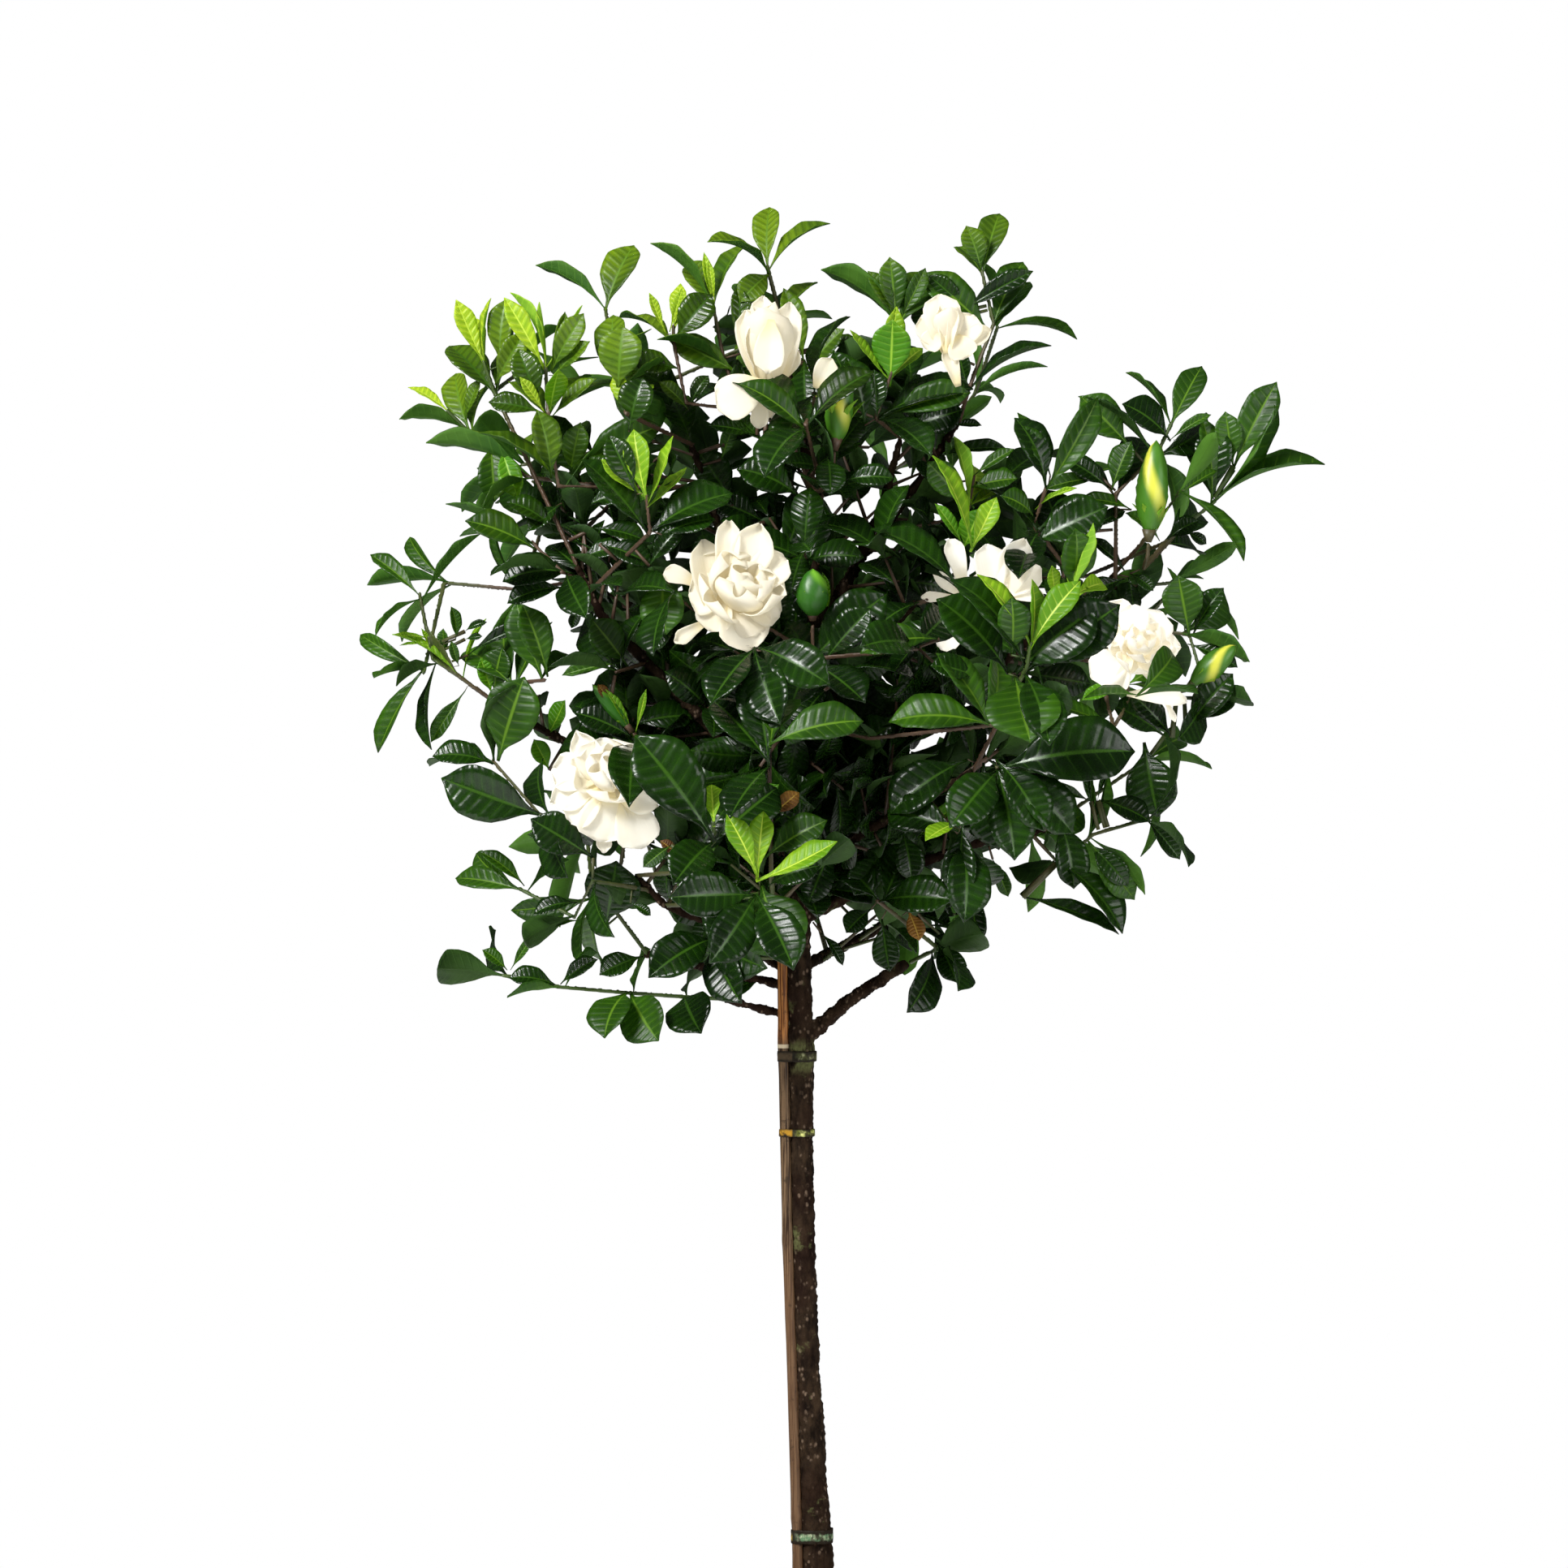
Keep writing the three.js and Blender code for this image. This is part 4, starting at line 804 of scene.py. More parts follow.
# %% Lines of sight
def seen_at(point):
    """Where a point is seen, in the upright plane through the trunk."""
    eye = camera.location
    return eye + (point - eye) * (-eye.y / (point.y - eye.y))


def on_sight_line(x, z, depth):
    """The point at a depth that is seen at x and z."""
    eye = camera.location
    return eye + (Vector((x * MM, 0, z * MM)) - eye) * ((depth - eye.y) / -eye.y)


print("eye:", tuple(round(value, 3) for value in camera.location))

# %% [markdown]
# ## Narrow and rolled leaves
#
# Some outer leaves of the real plant are narrower than a plain one, and a few show more of their face. A
# whole spray gets a factor for its width. A single leaf is told by where its tip is seen, how far it rolls
# towards the viewer, in degrees, and its own width factor.

# %% Narrow and rolled leaves
SPRAY_WIDTHS = {
    "spray_back_left": 0.42, "spray_back_low_left": 0.6, "spray_back_low_right": 0.6, "spray_back_right": 0.5,
    "spray_back_high_right": 0.42, "spray_far_left": 0.5, "spray_left_drape": 0.7, "spray_right_low": 0.8,
    "spray_crest_left": 0.85, "spray_crest_left_long": 0.8, "spray_crown_tip": 0.8, "spray_crest_fan": 0.85,
    "spray_crest_right": 0.85, "spray_high_right": 0.85, "spray_far_right": 0.8, "spray_right_crest": 0.8,
    "spray_right_inner": 0.85, "spray_top_left": 0.9, "spray_left_shelf": 0.85,
}
SPECIAL_LEAVES = [
    (72, 1150, 60, 1.0), (-115, 1170, 65, 1.0), (-177, 1155, 0, 0.45), (297, 1080, 20, 0.7),
    (250, 1057, 60, 0.8), (-66, 1170, 30, 0.8), (-247, 1041, 0, 0.6), (-264, 1056, 0, 0.6),
    (183, 1070, 0, 0.62), (282, 875, 0, 0.6), (-133, 659, 60, 1.3), (-98, 658, 35, 1.5),
    (-71, 663, 50, 1.3), (-240, 704, 0, 0.85), (-195, 686, 0, 0.6),
]
TIP_MATCH = 6


def rolled(leaf, degrees):
    """The upper side of a leaf that is rolled about its length, towards the viewer."""
    turns = [Matrix.Rotation(math.radians(angle), 3, leaf["along"]) for angle in (degrees, -degrees)]
    return min([turn @ leaf["up"] for turn in turns], key=lambda up: up.y)


def seen_shape(leaf, widen):
    """The upper side of a leaf and its width, rolled or narrowed where that is told."""
    tip = seen_at(leaf["tip"]) / MM
    for x, z, degrees, special in SPECIAL_LEAVES:
        if math.hypot(tip.x - x, tip.z - z) < TIP_MATCH:
            return rolled(leaf, degrees), special
    return leaf["up"], widen


print("narrow sprays:", len(SPRAY_WIDTHS), "special leaves:", len(SPECIAL_LEAVES))

# %% [markdown]
# ## Dress every spray
#
# A spray's bare shoots and the copies that are laid on its blades become one piece, which stands for the
# spray's node. Each copy takes a bend at random, because a shrub has no two leaves alike.

# %% Dress every spray
sprays = {}
spray_leaves = {}
for node in sorted(frame["nodes"]):
    if not node.startswith("spray_"):
        continue
    mesh = merged_mesh(node)
    found = find_leaves(mesh)
    parts = [bare_shoots(node + "_shoots", mesh, found)]
    for leaf in found:
        template = random.choice(leaves[leaf["age"]])
        up, widen = seen_shape(leaf, SPRAY_WIDTHS.get(node, 1.0))
        parts.append(place(template, leaf["base"], leaf["along"], up, leaf["length"], widen))
    spray_leaves[node] = found
    sprays[node] = join(node.replace("spray_", "leaves_"), parts)
    dress(sprays[node], "leaf", node)
print("sprays:", len(sprays), "with", sum(map(len, spray_leaves.values())), "leaves")

# %% [markdown]
# ## Leaves seen one by one
#
# Between the whorls of the fixed model the front of the crown shows many single leaves. Each is told as one
# would sketch it from the front: where its foot and its tip are seen, how far the tip comes forward, all in
# millimetres, and how broad it is against a plain leaf. The foot takes the depth of the shoot that lies
# nearest, and a short stalk joins the two.

# %% Where single leaves are seen
SEEN_LEAVES = {
    "young": [
        (-171, 1088, -197, 1134, 6, 0.75), (-171, 1060, -187, 1083, 8, 0.8), (-93, 1110, -104, 1137, 6, 0.6),
        (-91, 1112, -83, 1140, 6, 0.6), (-64, 1130, -69, 1163, 4, 0.5), (-62, 1130, -66, 1158, 4, 0.5),
        (147, 1002, 170, 1012, 6, 0.4), (143, 998, 158, 1010, 6, 0.4), (157, 939, 154, 962, 12, 1.3),
        (160, 940, 178, 948, 8, 0.9), (-243, 915, -268, 918, 4, 0.4), (-245, 912, -264, 911, 6, 0.4),
        (-240, 905, -250, 922, 8, 0.5), (-114, 852, -132, 883, 8, 0.5), (-113, 855, -106, 883, 6, 0.5),
    ],
    "fresh": [
        (-168, 1058, -162, 1088, 30, 1.2), (-199, 1038, -188, 1005, 12, 0.9), (50, 1077, 52, 1120, 12, 1.3),
        (97, 973, 108, 999, 14, 1.4), (97, 975, 79, 1002, 8, 0.6), (202, 886, 228, 903, 12, 1.1),
        (199, 886, 173, 876, 10, 0.8), (8, 929, 44, 943, 8, 0.5), (11, 930, 7, 958, 4, 0.5),
        (66, 785, 97, 812, 8, 0.5), (-43, 800, -21, 822, 8, 0.9), (-205, 880, -212, 903, 10, 1),
        (-170, 852, -158, 876, 8, 1.2), (-168, 831, -178, 851, 8, 1.2),
    ],
    "mid": [
        (-203, 1078, -184, 1112, 8, 0.9), (-200, 1090, -196, 1133, 0, 0.9),
        (-167, 1086, -146, 1124, 6, 0.8), (-165, 1084, -142, 1106, 10, 0.9),
        (-168, 1086, -158, 1125, 0, 0.5), (-166, 1058, -138, 1082, 14, 0.8),
        (-124, 1074, -121, 1116, 6, 1.5), (-46, 1085, -90, 1107, 6, 0.9), (-79, 1062, -98, 1080, 6, 1),
        (-222, 1056, -212, 1082, 6, 0.8), (-206, 1042, -203, 1003, 8, 1.1), (-167, 1018, -176, 1062, 8, 1),
        (-155, 1020, -148, 1054, 10, 1.1), (-152, 1020, -96, 1052, 4, 0.8), (-176, 972, -222, 991, 8, 1.1),
        (-95, 957, -93, 918, 14, 1.6), (-5, 1085, 21, 1114, 10, 1.1), (-5, 1092, -18, 1140, 4, 0.7),
        (-26, 1150, -46, 1131, 14, 1.4), (-2, 1046, -47, 1079, 12, 0.8), (8, 1064, 33, 1083, 8, 0.8),
        (54, 1118, 50, 1160, 2, 1), (53, 1120, 36, 1151, 2, 0.8), (57, 1120, 73, 1153, 2, 0.7),
        (47, 1057, 102, 1073, 8, 0.8), (90, 1022, 88, 1046, 4, 1.1), (99, 1001, 74, 1029, 10, 1.2),
        (101, 1012, 132, 1018, 10, 1.3), (104, 1020, 130, 1037, 4, 0.7), (142, 994, 121, 1007, 12, 1.5),
        (-58, 1030, -50, 1052, 4, 1), (109, 1150, 99, 1180, 2, 1.2), (153, 1020, 133, 1052, 6, 0.8),
        (204, 1038, 172, 1071, 4, 1.3), (230, 1043, 256, 1059, 2, 0.5), (270, 1026, 265, 1061, 6, 1.1),
        (270, 1024, 298, 1080, 6, 0.8), (192, 1010, 205, 1042, 4, 1.2), (186, 1018, 149, 1011, 4, 0.7),
        (205, 998, 171, 1004, 4, 0.7), (223, 978, 201, 996, 6, 0.9), (165, 946, 169, 986, 16, 1.4),
        (242, 917, 235, 956, 8, 1.5), (203, 886, 234, 880, 6, 0.6), (177, 786, 207, 748, 2, 0.9),
        (116, 774, 126, 750, 2, 0.8), (82, 915, 31, 906, 8, 1), (130, 891, 140, 849, 40, 2.5),
        (128, 905, 128, 942, 10, 1.3), (-32, 757, -14, 711, 24, 2.0), (-40, 726, -62, 708, 12, 1.3),
        (-30, 775, 10, 799, 8, 1.1), (-228, 915, -231, 936, 6, 0.9), (-235, 904, -236, 922, 6, 1),
        (-226, 898, -231, 914, 8, 0.8), (-203, 880, -198, 910, 12, 1.6), (-169, 891, -185, 937, 4, 1),
        (-201, 837, -184, 891, 14, 1.4), (-222, 882, -244, 849, 2, 0.6), (-184, 757, -213, 779, 2, 0.7),
        (-148, 735, -181, 727, 2, 0.6), (-195, 703, -211, 716, 4, 1.1), (-193, 703, -178, 726, 2, 0.5),
        (-118, 898, -141, 928, 12, 1.4), (-122, 900, -160, 892, 2, 0.5), (-90, 783, -108, 769, 6, 1.1),
        (-60, 783, -86, 757, 8, 1.2), (98, 1122, 72, 1150, 0, 1.1),
    ],
    "old": [
        (-174, 1064, -188, 1101, 0, 1), (-172, 1060, -207, 1067, 0, 0.9), (-88, 1106, -64, 1136, 0, 1.2),
        (-84, 1088, -115, 1093, 8, 1.2), (-78, 1064, -66, 1084, 0, 0.9), (-117, 1048, -108, 1083, 4, 1.3),
        (-120, 1012, -143, 1032, 4, 1), (-112, 1008, -130, 1046, 0, 0.9), (-165, 985, -196, 1003, 6, 1),
        (-160, 1002, -182, 984, 8, 1), (-146, 1000, -112, 1012, 6, 1), (-140, 986, -106, 978, 8, 1),
        (-136, 976, -102, 962, 8, 1.1), (-150, 966, -118, 974, 6, 1), (-152, 957, -198, 952, 8, 1.2),
        (-158, 948, -195, 938, 6, 0.9), (8, 1102, 30, 1106, 0, 1), (-5, 1093, -4, 1058, 16, 1.3),
        (-46, 1098, -47, 1142, 0, 0.6), (28, 1062, 14, 1100, 4, 1), (34, 1052, 22, 1096, 4, 0.9),
        (42, 1056, 40, 1088, 4, 1), (62, 1050, 97, 1062, 8, 1.5), (90, 1052, 109, 1052, 0, 0.8),
        (80, 1032, 125, 1037, 0, 0.4), (-8, 1006, -48, 1024, 10, 1.3), (10, 1031, 12, 1007, 20, 1.6),
        (20, 1016, 53, 1018, 8, 1), (-50, 1001, -73, 1036, 6, 1.2), (-35, 1046, -66, 1052, 8, 1.1),
        (0, 1036, -31, 1048, 6, 1.1), (96, 1125, 142, 1151, 4, 0.5), (99, 1126, 75, 1148, 4, 0.9),
        (100, 1077, 94, 1101, 4, 1.1), (150, 1012, 130, 1057, 2, 1), (230, 1042, 199, 1066, 8, 1.4),
        (258, 1006, 257, 1052, 2, 1.1), (258, 1004, 232, 1043, 0, 0.5), (190, 1012, 163, 1030, 2, 1),
        (139, 975, 190, 1000, 8, 1.2), (178, 984, 201, 997, 0, 0.7), (228, 979, 248, 991, 4, 1.2),
        (240, 984, 253, 976, 2, 1), (202, 957, 178, 980, 2, 0.5), (204, 957, 219, 946, 6, 1),
        (203, 955, 207, 931, 6, 0.9), (201, 954, 172, 942, 6, 0.9), (244, 917, 264, 948, 2, 0.9),
        (241, 912, 273, 897, 4, 0.7), (226, 853, 192, 873, 8, 1.4), (231, 852, 204, 881, 6, 0.9),
        (240, 856, 270, 893, 6, 0.9), (248, 862, 272, 879, 2, 0.9), (213, 849, 222, 801, 8, 1.4),
        (184, 812, 217, 798, 6, 1.2), (214, 800, 236, 774, 0, 0.8), (177, 785, 203, 757, 8, 0.8),
        (158, 801, 168, 755, 6, 1), (135, 750, 197, 726, 0, 0.45), (179, 811, 150, 821, 2, 0.5),
        (180, 806, 175, 838, 2, 0.3), (183, 811, 191, 835, 2, 0.3), (140, 853, 196, 841, 6, 0.9),
        (80, 721, 93, 695, 8, 1.5), (103, 757, 107, 720, 4, 0.9), (8, 901, 38, 935, 10, 1.1),
        (106, 890, 76, 898, 10, 1.3), (3, 894, 48, 868, 8, 1.1), (126, 893, 80, 941, 10, 1.2),
        (131, 893, 183, 936, 10, 1.2), (110, 836, 120, 780, 6, 1), (118, 838, 149, 792, 8, 1),
        (100, 838, 50, 803, 10, 1.1), (-37, 757, -66, 722, 16, 1.3), (-28, 757, 6, 770, 10, 1.2),
        (-28, 712, -66, 696, 8, 1.1), (-30, 698, -64, 684, 6, 1), (6, 727, 20, 706, 2, 0.6),
        (38, 742, 22, 727, 8, 1.5), (0, 755, 46, 748, 4, 0.7), (45, 748, 83, 748, 4, 0.7),
        (46, 780, 27, 751, 8, 1.3), (58, 793, 64, 760, 6, 1.2), (97, 800, 95, 748, 4, 0.9),
        (45, 736, 50, 702, 4, 1.1), (-222, 920, -208, 926, 4, 0.7), (-222, 915, -211, 917, 4, 0.9),
        (-220, 905, -172, 925, 2, 0.35), (-204, 835, -243, 840, 4, 1), (-140, 775, -180, 800, 8, 1.2),
        (-165, 785, -182, 790, 2, 0.6), (-132, 731, -125, 773, 12, 1.8), (-150, 746, -178, 739, 4, 0.9),
        (-116, 746, -103, 738, 2, 0.9), (-163, 693, -194, 698, 6, 1), (-161, 694, -137, 710, 4, 1),
        (-108, 712, -136, 700, 6, 1.3), (-111, 852, -117, 808, 85, 1.3), (-115, 852, -152, 868, 6, 1.1),
        (-148, 938, -154, 922, 0, 0.9), (-96, 982, -62, 992, 0, 1.3), (-58, 1002, -90, 984, 0, 1.2),
        (-104, 962, -84, 988, 0, 1.1), (-30, 990, -62, 1004, 0, 1.2), (-86, 930, -104, 908, 2, 1.1),
        (92, 1096, 66, 1128, -12, 1.2), (-56, 1040, -30, 1052, 0, 1.1), (-30, 1040, -52, 1060, 0, 1.0),
    ],
    "faded": [
        (-26, 802, -8, 817, 0, 1.2), (62, 741, 69, 722, 8, 1.4), (-129, 874, -137, 886, 4, 1.2),
        (-86, 776, -97, 786, 4, 1.2),
    ],
}
print("single leaves to lay:", {age: len(rows) for age, rows in SEEN_LEAVES.items()})

# %% The shoot behind each leaf
STALK_REACH = 26 * MM
FORWARD_PULL = 0.05
FRONT_HALF = 60 * MM
LIMBS_FROM = 0.69
trunk_mesh = merged_mesh("trunk")
shoot_points.extend(along_edges(trunk_mesh, LIMBS_FROM))
front_shoots = [point for point in shoot_points if point.y < FRONT_HALF]
shoot_view = tree_of([seen_at(point) for point in front_shoots])
print("shoot points in the front half:", len(front_shoots))


def nearest_shoot(x, z):
    """The point of a shoot that is seen nearest to a leaf's foot, rather a near one than a far one."""
    foot = Vector((x, 0, z)) * MM
    near = shoot_view.find_range(foot, STALK_REACH)
    if not near:
        return front_shoots[shoot_view.find(foot)[1]]
    best = min(near, key=lambda each: each[2] + FORWARD_PULL * front_shoots[each[1]].y)
    return front_shoots[best[1]]


# %% Lay the single leaves
STALK_FROM = 2.5 * MM
STALK_UP = Vector((0.3, 0.5, 0.8))
STALK_FOOT = 0.09
STALK_END = 0.07


def towards_viewer(sway, rise):
    """An upper side that faces the viewer, turned a little at random."""
    return Vector((random.uniform(-sway, sway), -1, rise))


drop_selection()
bpy.ops.mesh.primitive_cone_add(
    vertices=5, radius1=STALK_FOOT, radius2=STALK_END, depth=1, rotation=(-math.pi / 2, 0, 0)
)
stalk = bpy.context.object
bpy.ops.transform.translate(value=(0, 0.5, 0))
bpy.ops.object.transform_apply()
paint(stalk, green_stem)
templates.append(stalk)

seen_leaves = []
for age, rows in SEEN_LEAVES.items():
    parts = []
    for foot_x, foot_z, tip_x, tip_z, forward, widen in rows:
        fork = nearest_shoot(foot_x, foot_z)
        base = on_sight_line(foot_x, foot_z, fork.y)
        tip = on_sight_line(tip_x, tip_z, fork.y - forward * MM)
        way = tip - base
        up = towards_viewer(0.4, 0.6)
        broad = widen * math.hypot(way.x, way.z) / way.length
        parts.append(place(random.choice(leaves[age]), base, way.normalized(), up, way.length, broad))
        stem = fork - base
        if stem.length > STALK_FROM:
            parts.append(place(stalk, base, stem.normalized(), STALK_UP, stem.length))
        along = way.normalized()
        side = along.cross(up).normalized()
        seen_leaves.append({"base": base, "tip": tip, "along": along, "side": side, "length": way.length})
    dress(join(f"single_leaves_{age}", parts), "leaf")
print("single leaves:", len(seen_leaves))

# %% [markdown]
# ## Leafy twigs inside the crown
#
# A dense crown has many more leaves than its outline shows: dark old ones on short twigs that fill the
# space round the limbs. Three twigs are planned as a thin tapered stem and a few plain leaves, and copies
# are set on the limbs wherever one finds room.

# %% Twig plans
TWIG_PLANS = [
    {"length": 42 * MM, "pairs": (0.45, 0.75), "whorl": 3, "leaf": 50 * MM},
    {"length": 30 * MM, "pairs": (0.6,), "whorl": 3, "leaf": 46 * MM},
    {"length": 54 * MM, "pairs": (0.35, 0.6, 0.82), "whorl": 2, "leaf": 44 * MM},
]
PAIR_TILT = 70
WHORL_TILT = 48


def twig_stem(number, length):
    """A short tapered stem along Z."""
    drop_selection()
    bpy.ops.mesh.primitive_cone_add(
        vertices=6, radius1=1.5 * MM, radius2=0.9 * MM, depth=length, location=(0, 0, length / 2)
    )
    stem = bpy.context.object
    stem.name = f"twig_stem_{number}"
    bpy.ops.object.transform_apply()
    paint(stem, green_stem)
    templates.append(stem)
    return stem


def twig_ways(plan):
    """The foot, heading and tilt of each leaf: pairs along the stem and a whorl at its end."""
    ways = []
    for order, share in enumerate(plan["pairs"]):
        for turn in (0, math.pi):
            ways.append((share * plan["length"], turn + order * math.pi / 2, PAIR_TILT))
    for i in range(plan["whorl"]):
        ways.append((plan["length"], 0.5 + i * 2 * math.pi / plan["whorl"], WHORL_TILT))
    return ways


for number, plan in enumerate(TWIG_PLANS):
    plan["stem"] = twig_stem(number, plan["length"])
    plan["ways"] = twig_ways(plan)

print("leaves on each twig:", [len(plan["ways"]) for plan in TWIG_PLANS])

# %% [markdown]
# ## Room for twigs
#
# An outline of the dense part of the crown, seen from the front, keeps the spaces between the outer sprays
# open, and a few round gaps in it let light through. A new leaf must lie inside, hide no flower and no leaf
# that is to be seen, and meet neither a solid nor another new leaf.

# %% The dense part of the crown
CROWN_BODY = [
    (-168, 1112), (-140, 1085), (-120, 1112), (-95, 1108), (-60, 1128), (-10, 1140), (10, 1108),
    (45, 1112), (66, 1112), (80, 1130), (104, 1108), (98, 1060), (124, 1034), (170, 1056), (226, 1060),
    (206, 1010), (222, 978), (206, 958), (250, 930), (268, 900), (262, 866), (236, 850), (226, 806),
    (176, 796), (168, 770), (132, 790), (112, 772), (110, 728), (98, 702), (60, 700), (36, 742),
    (2, 738), (-30, 700), (-84, 700), (-92, 760), (-112, 784), (-124, 740), (-144, 760), (-150, 800),
    (-172, 812), (-160, 846), (-206, 850), (-210, 884), (-160, 880), (-118, 884), (-146, 912),
    (-150, 944), (-190, 946), (-160, 966), (-216, 990), (-206, 1040), (-176, 1060), (-186, 1096),
]
GAPS = [
    (-70, 1090, 13), (-144, 1060, 8), (45, 1040, 12), (98, 1034, 12), (-28, 1037, 8), (30, 990, 13),
    (178, 1040, 12), (190, 966, 12), (188, 834, 13), (168, 812, 8), (-150, 888, 12), (88, 765, 7),
    (-112, 872, 5),
]


def in_crown_body(point):
    """Whether a point, seen from the front, lies in the dense part of the crown."""
    x, z = point.x / MM, point.z / MM
    inside = False
    for (x1, z1), (x2, z2) in zip(CROWN_BODY, CROWN_BODY[1:] + CROWN_BODY[:1]):
        if (z1 > z) != (z2 > z) and x < x1 + (x2 - x1) * (z - z1) / (z2 - z1):
            inside = not inside
    return inside


def in_gap(point):
    """Whether a point, seen from the front, lies in a gap that lets the light through."""
    return any(math.hypot(point.x / MM - x, point.z / MM - z) < radius for x, z, radius in GAPS)


def crown_depth(point):
    """How far out in the crown a point lies: 1 is the crown's surface."""
    offset = point - CROWN_CENTRE
    return Vector([value / reach for value, reach in zip(offset, CROWN_REACH)]).length


print("corners of the outline:", len(CROWN_BODY), "gaps:", len(GAPS))

# %% What must stay in view
FLOWER_DEPTH = 25
LEAF_VIEW_RADIUS = 9 * MM
LEAF_SHARES = (0.3, 0.55, 0.8)
view_points = []
for leaf in [each for found in spray_leaves.values() for each in found] + seen_leaves:
    view_points.extend(leaf["base"].lerp(leaf["tip"], share) for share in LEAF_SHARES)
view_points = [point for point in view_points if point.y < FRONT_HALF]
leaf_view = tree_of([seen_at(point) for point in view_points])


def hides_flower(point):
    """Whether a point lies in front of a flower or bud."""
    for (x, y, z), radius in FLOWERS:
        before = point.y < (y + FLOWER_DEPTH) * MM
        if before and math.hypot(point.x / MM - x, point.z / MM - z) < radius:
            return True
    return False


def hides_leaf(point):
    """Whether a point lies in front of a leaf that is to be seen."""
    near = leaf_view.find_range(seen_at(point), LEAF_VIEW_RADIUS)
    return any(view_points[index].y > point.y for _, index, _ in near)


print("points of leaves to keep in view:", len(view_points))

# %% Strips that stand for leaves
STRIP_SHARE = 0.13
STRIP_FROM = 0.25
STRIP_TO = 0.95


def middle_of(points):
    """The middle of some points."""
    return sum(points, Vector()) / len(points)


def strip_of(base, along, side, length):
    """A narrow strip that stands for a leaf when room is tested."""
    half = side * (STRIP_SHARE * length)
    near = base + along * (STRIP_FROM * length)
    far = base + along * (STRIP_TO * length)
    return [near - half, near + half, far + half * 0.3, far - half * 0.3]


def strip_tree(strip):
    """A strip as a face that can be tested against others."""
    return BVHTree.FromPolygons(strip, [(0, 1, 2, 3)])


corners = []
faces = []
for node, piece in frame["nodes"].items():
    if node not in ("pot", "soil"):
        start = len(corners)
        corners.extend(vert.co.copy() for vert in piece.data.vertices)
        faces.extend([start + index for index in face.vertices] for face in piece.data.polygons)
solid_tree = BVHTree.FromPolygons(corners, faces)
print("faces of the fixed crown:", len(faces))

# %% Test for room
FRONT_LIMIT = -120 * MM
DEEPEST = 0.98
NEIGHBOURS = 45 * MM
taken = []


def has_room(strip):
    """Whether a leaf with this strip meets nothing, stays in the crown's body and hides no flower."""
    centre = middle_of(strip)
    if centre.y < FRONT_LIMIT or crown_depth(strip[2]) > DEEPEST:
        return False
    if not all(in_crown_body(point) for point in strip):
        return False
    if any(hides_flower(point) or in_gap(point) or hides_leaf(point) for point in strip + [centre]):
        return False
    tree = strip_tree(strip)
    if tree.overlap(solid_tree):
        return False
    near = [other for other_centre, other in taken if (centre - other_centre).length < NEIGHBOURS]
    return not any(tree.overlap(other) for other in near)


def take(strip):
    """Remembers the room that a new leaf takes."""
    taken.append((middle_of(strip), strip_tree(strip)))


for leaf in seen_leaves:
    take(strip_of(leaf["base"], leaf["along"], leaf["side"], leaf["length"]))
print("strips taken by single leaves:", len(taken))

# %% Set the twigs on the limbs
TWIG_TRIES = 6000
LEAVES_KEPT = 3
TWIG_SPACING = 11 * MM
TWIGS_FROM = 0.7
TWIG_SIZES = (0.8, 1.15)
LEAF_SIZES = (0.85, 1.1)
TILT_SWAY = 10
FULL_TURN = 6.3


def jitter(amount):
    """A small random step."""
    return Vector([random.uniform(-amount, amount) for _ in range(3)])


def twig_leaves(plan, foot, turn, size):
    """The leaves of a twig that find room, each with its strip."""
    fitting = []
    for height, heading, tilt in plan["ways"]:
        lean = math.radians(tilt + random.uniform(-TILT_SWAY, TILT_SWAY))
        out = Vector((math.cos(heading), math.sin(heading), 0))
        base = foot + turn @ Vector((0, 0, height * size))
        along = turn @ (out * math.sin(lean) + Vector((0, 0, math.cos(lean))))
        up = turn @ (Vector((0, 0, math.sin(lean))) - out * math.cos(lean))
        length = plan["leaf"] * size * random.uniform(*LEAF_SIZES)
        strip = strip_of(base, along, along.cross(up), length)
        if has_room(strip):
            fitting.append(((base, along, up, length), strip))
    return fitting


limb_faces = [face for face in trunk_mesh.faces if face.calc_center_median().z > TWIGS_FROM]
face_sizes = [face.calc_area() for face in limb_faces]
feet = []
twig_parts = []
for attempt in range(TWIG_TRIES):
    face = random.choices(limb_faces, face_sizes)[0]
    a, b, c = [vert.co for vert in face.verts]
    u, v = sorted((random.random(), random.random()))
    foot = a * u + b * (v - u) + c * (1 - v)
    if any((foot - other).length < TWIG_SPACING for other in feet):
        continue
    outward = (foot - CROWN_CENTRE).normalized()
    aim = (face.normal * 0.9 + outward * 0.5 + Vector((0, 0, 0.3)) + jitter(0.35)).normalized()
    plan = random.choice(TWIG_PLANS)
    size = random.uniform(*TWIG_SIZES)
    spin = Matrix.Rotation(random.uniform(0, FULL_TURN), 3, "Z")
    turn = aim.to_track_quat("Z", "Y").to_matrix() @ spin
    stem_end = foot + turn @ Vector((0, 0, plan["length"] * size))
    if not in_crown_body(stem_end) or hides_flower(stem_end) or hides_leaf(stem_end):
        continue
    fitting = twig_leaves(plan, foot, turn, size)
    if len(fitting) < LEAVES_KEPT:
        continue
    feet.append(foot)
    stem = twin(plan["stem"])
    stem.matrix_world = Matrix.Translation(foot - aim * MM) @ turn.to_4x4() @ Matrix.Scale(size, 4)
    twig_parts.append(stem)
    for leaf, strip in fitting:
        take(strip)
        twig_parts.append(place(random.choice(leaves["inner"]), *leaf))
trunk_mesh.free()
print("twigs:", len(feet), "of", attempt + 1, "tries, with", len(twig_parts) - len(feet), "leaves")
dress(join("inner_twigs", twig_parts), "leaf")

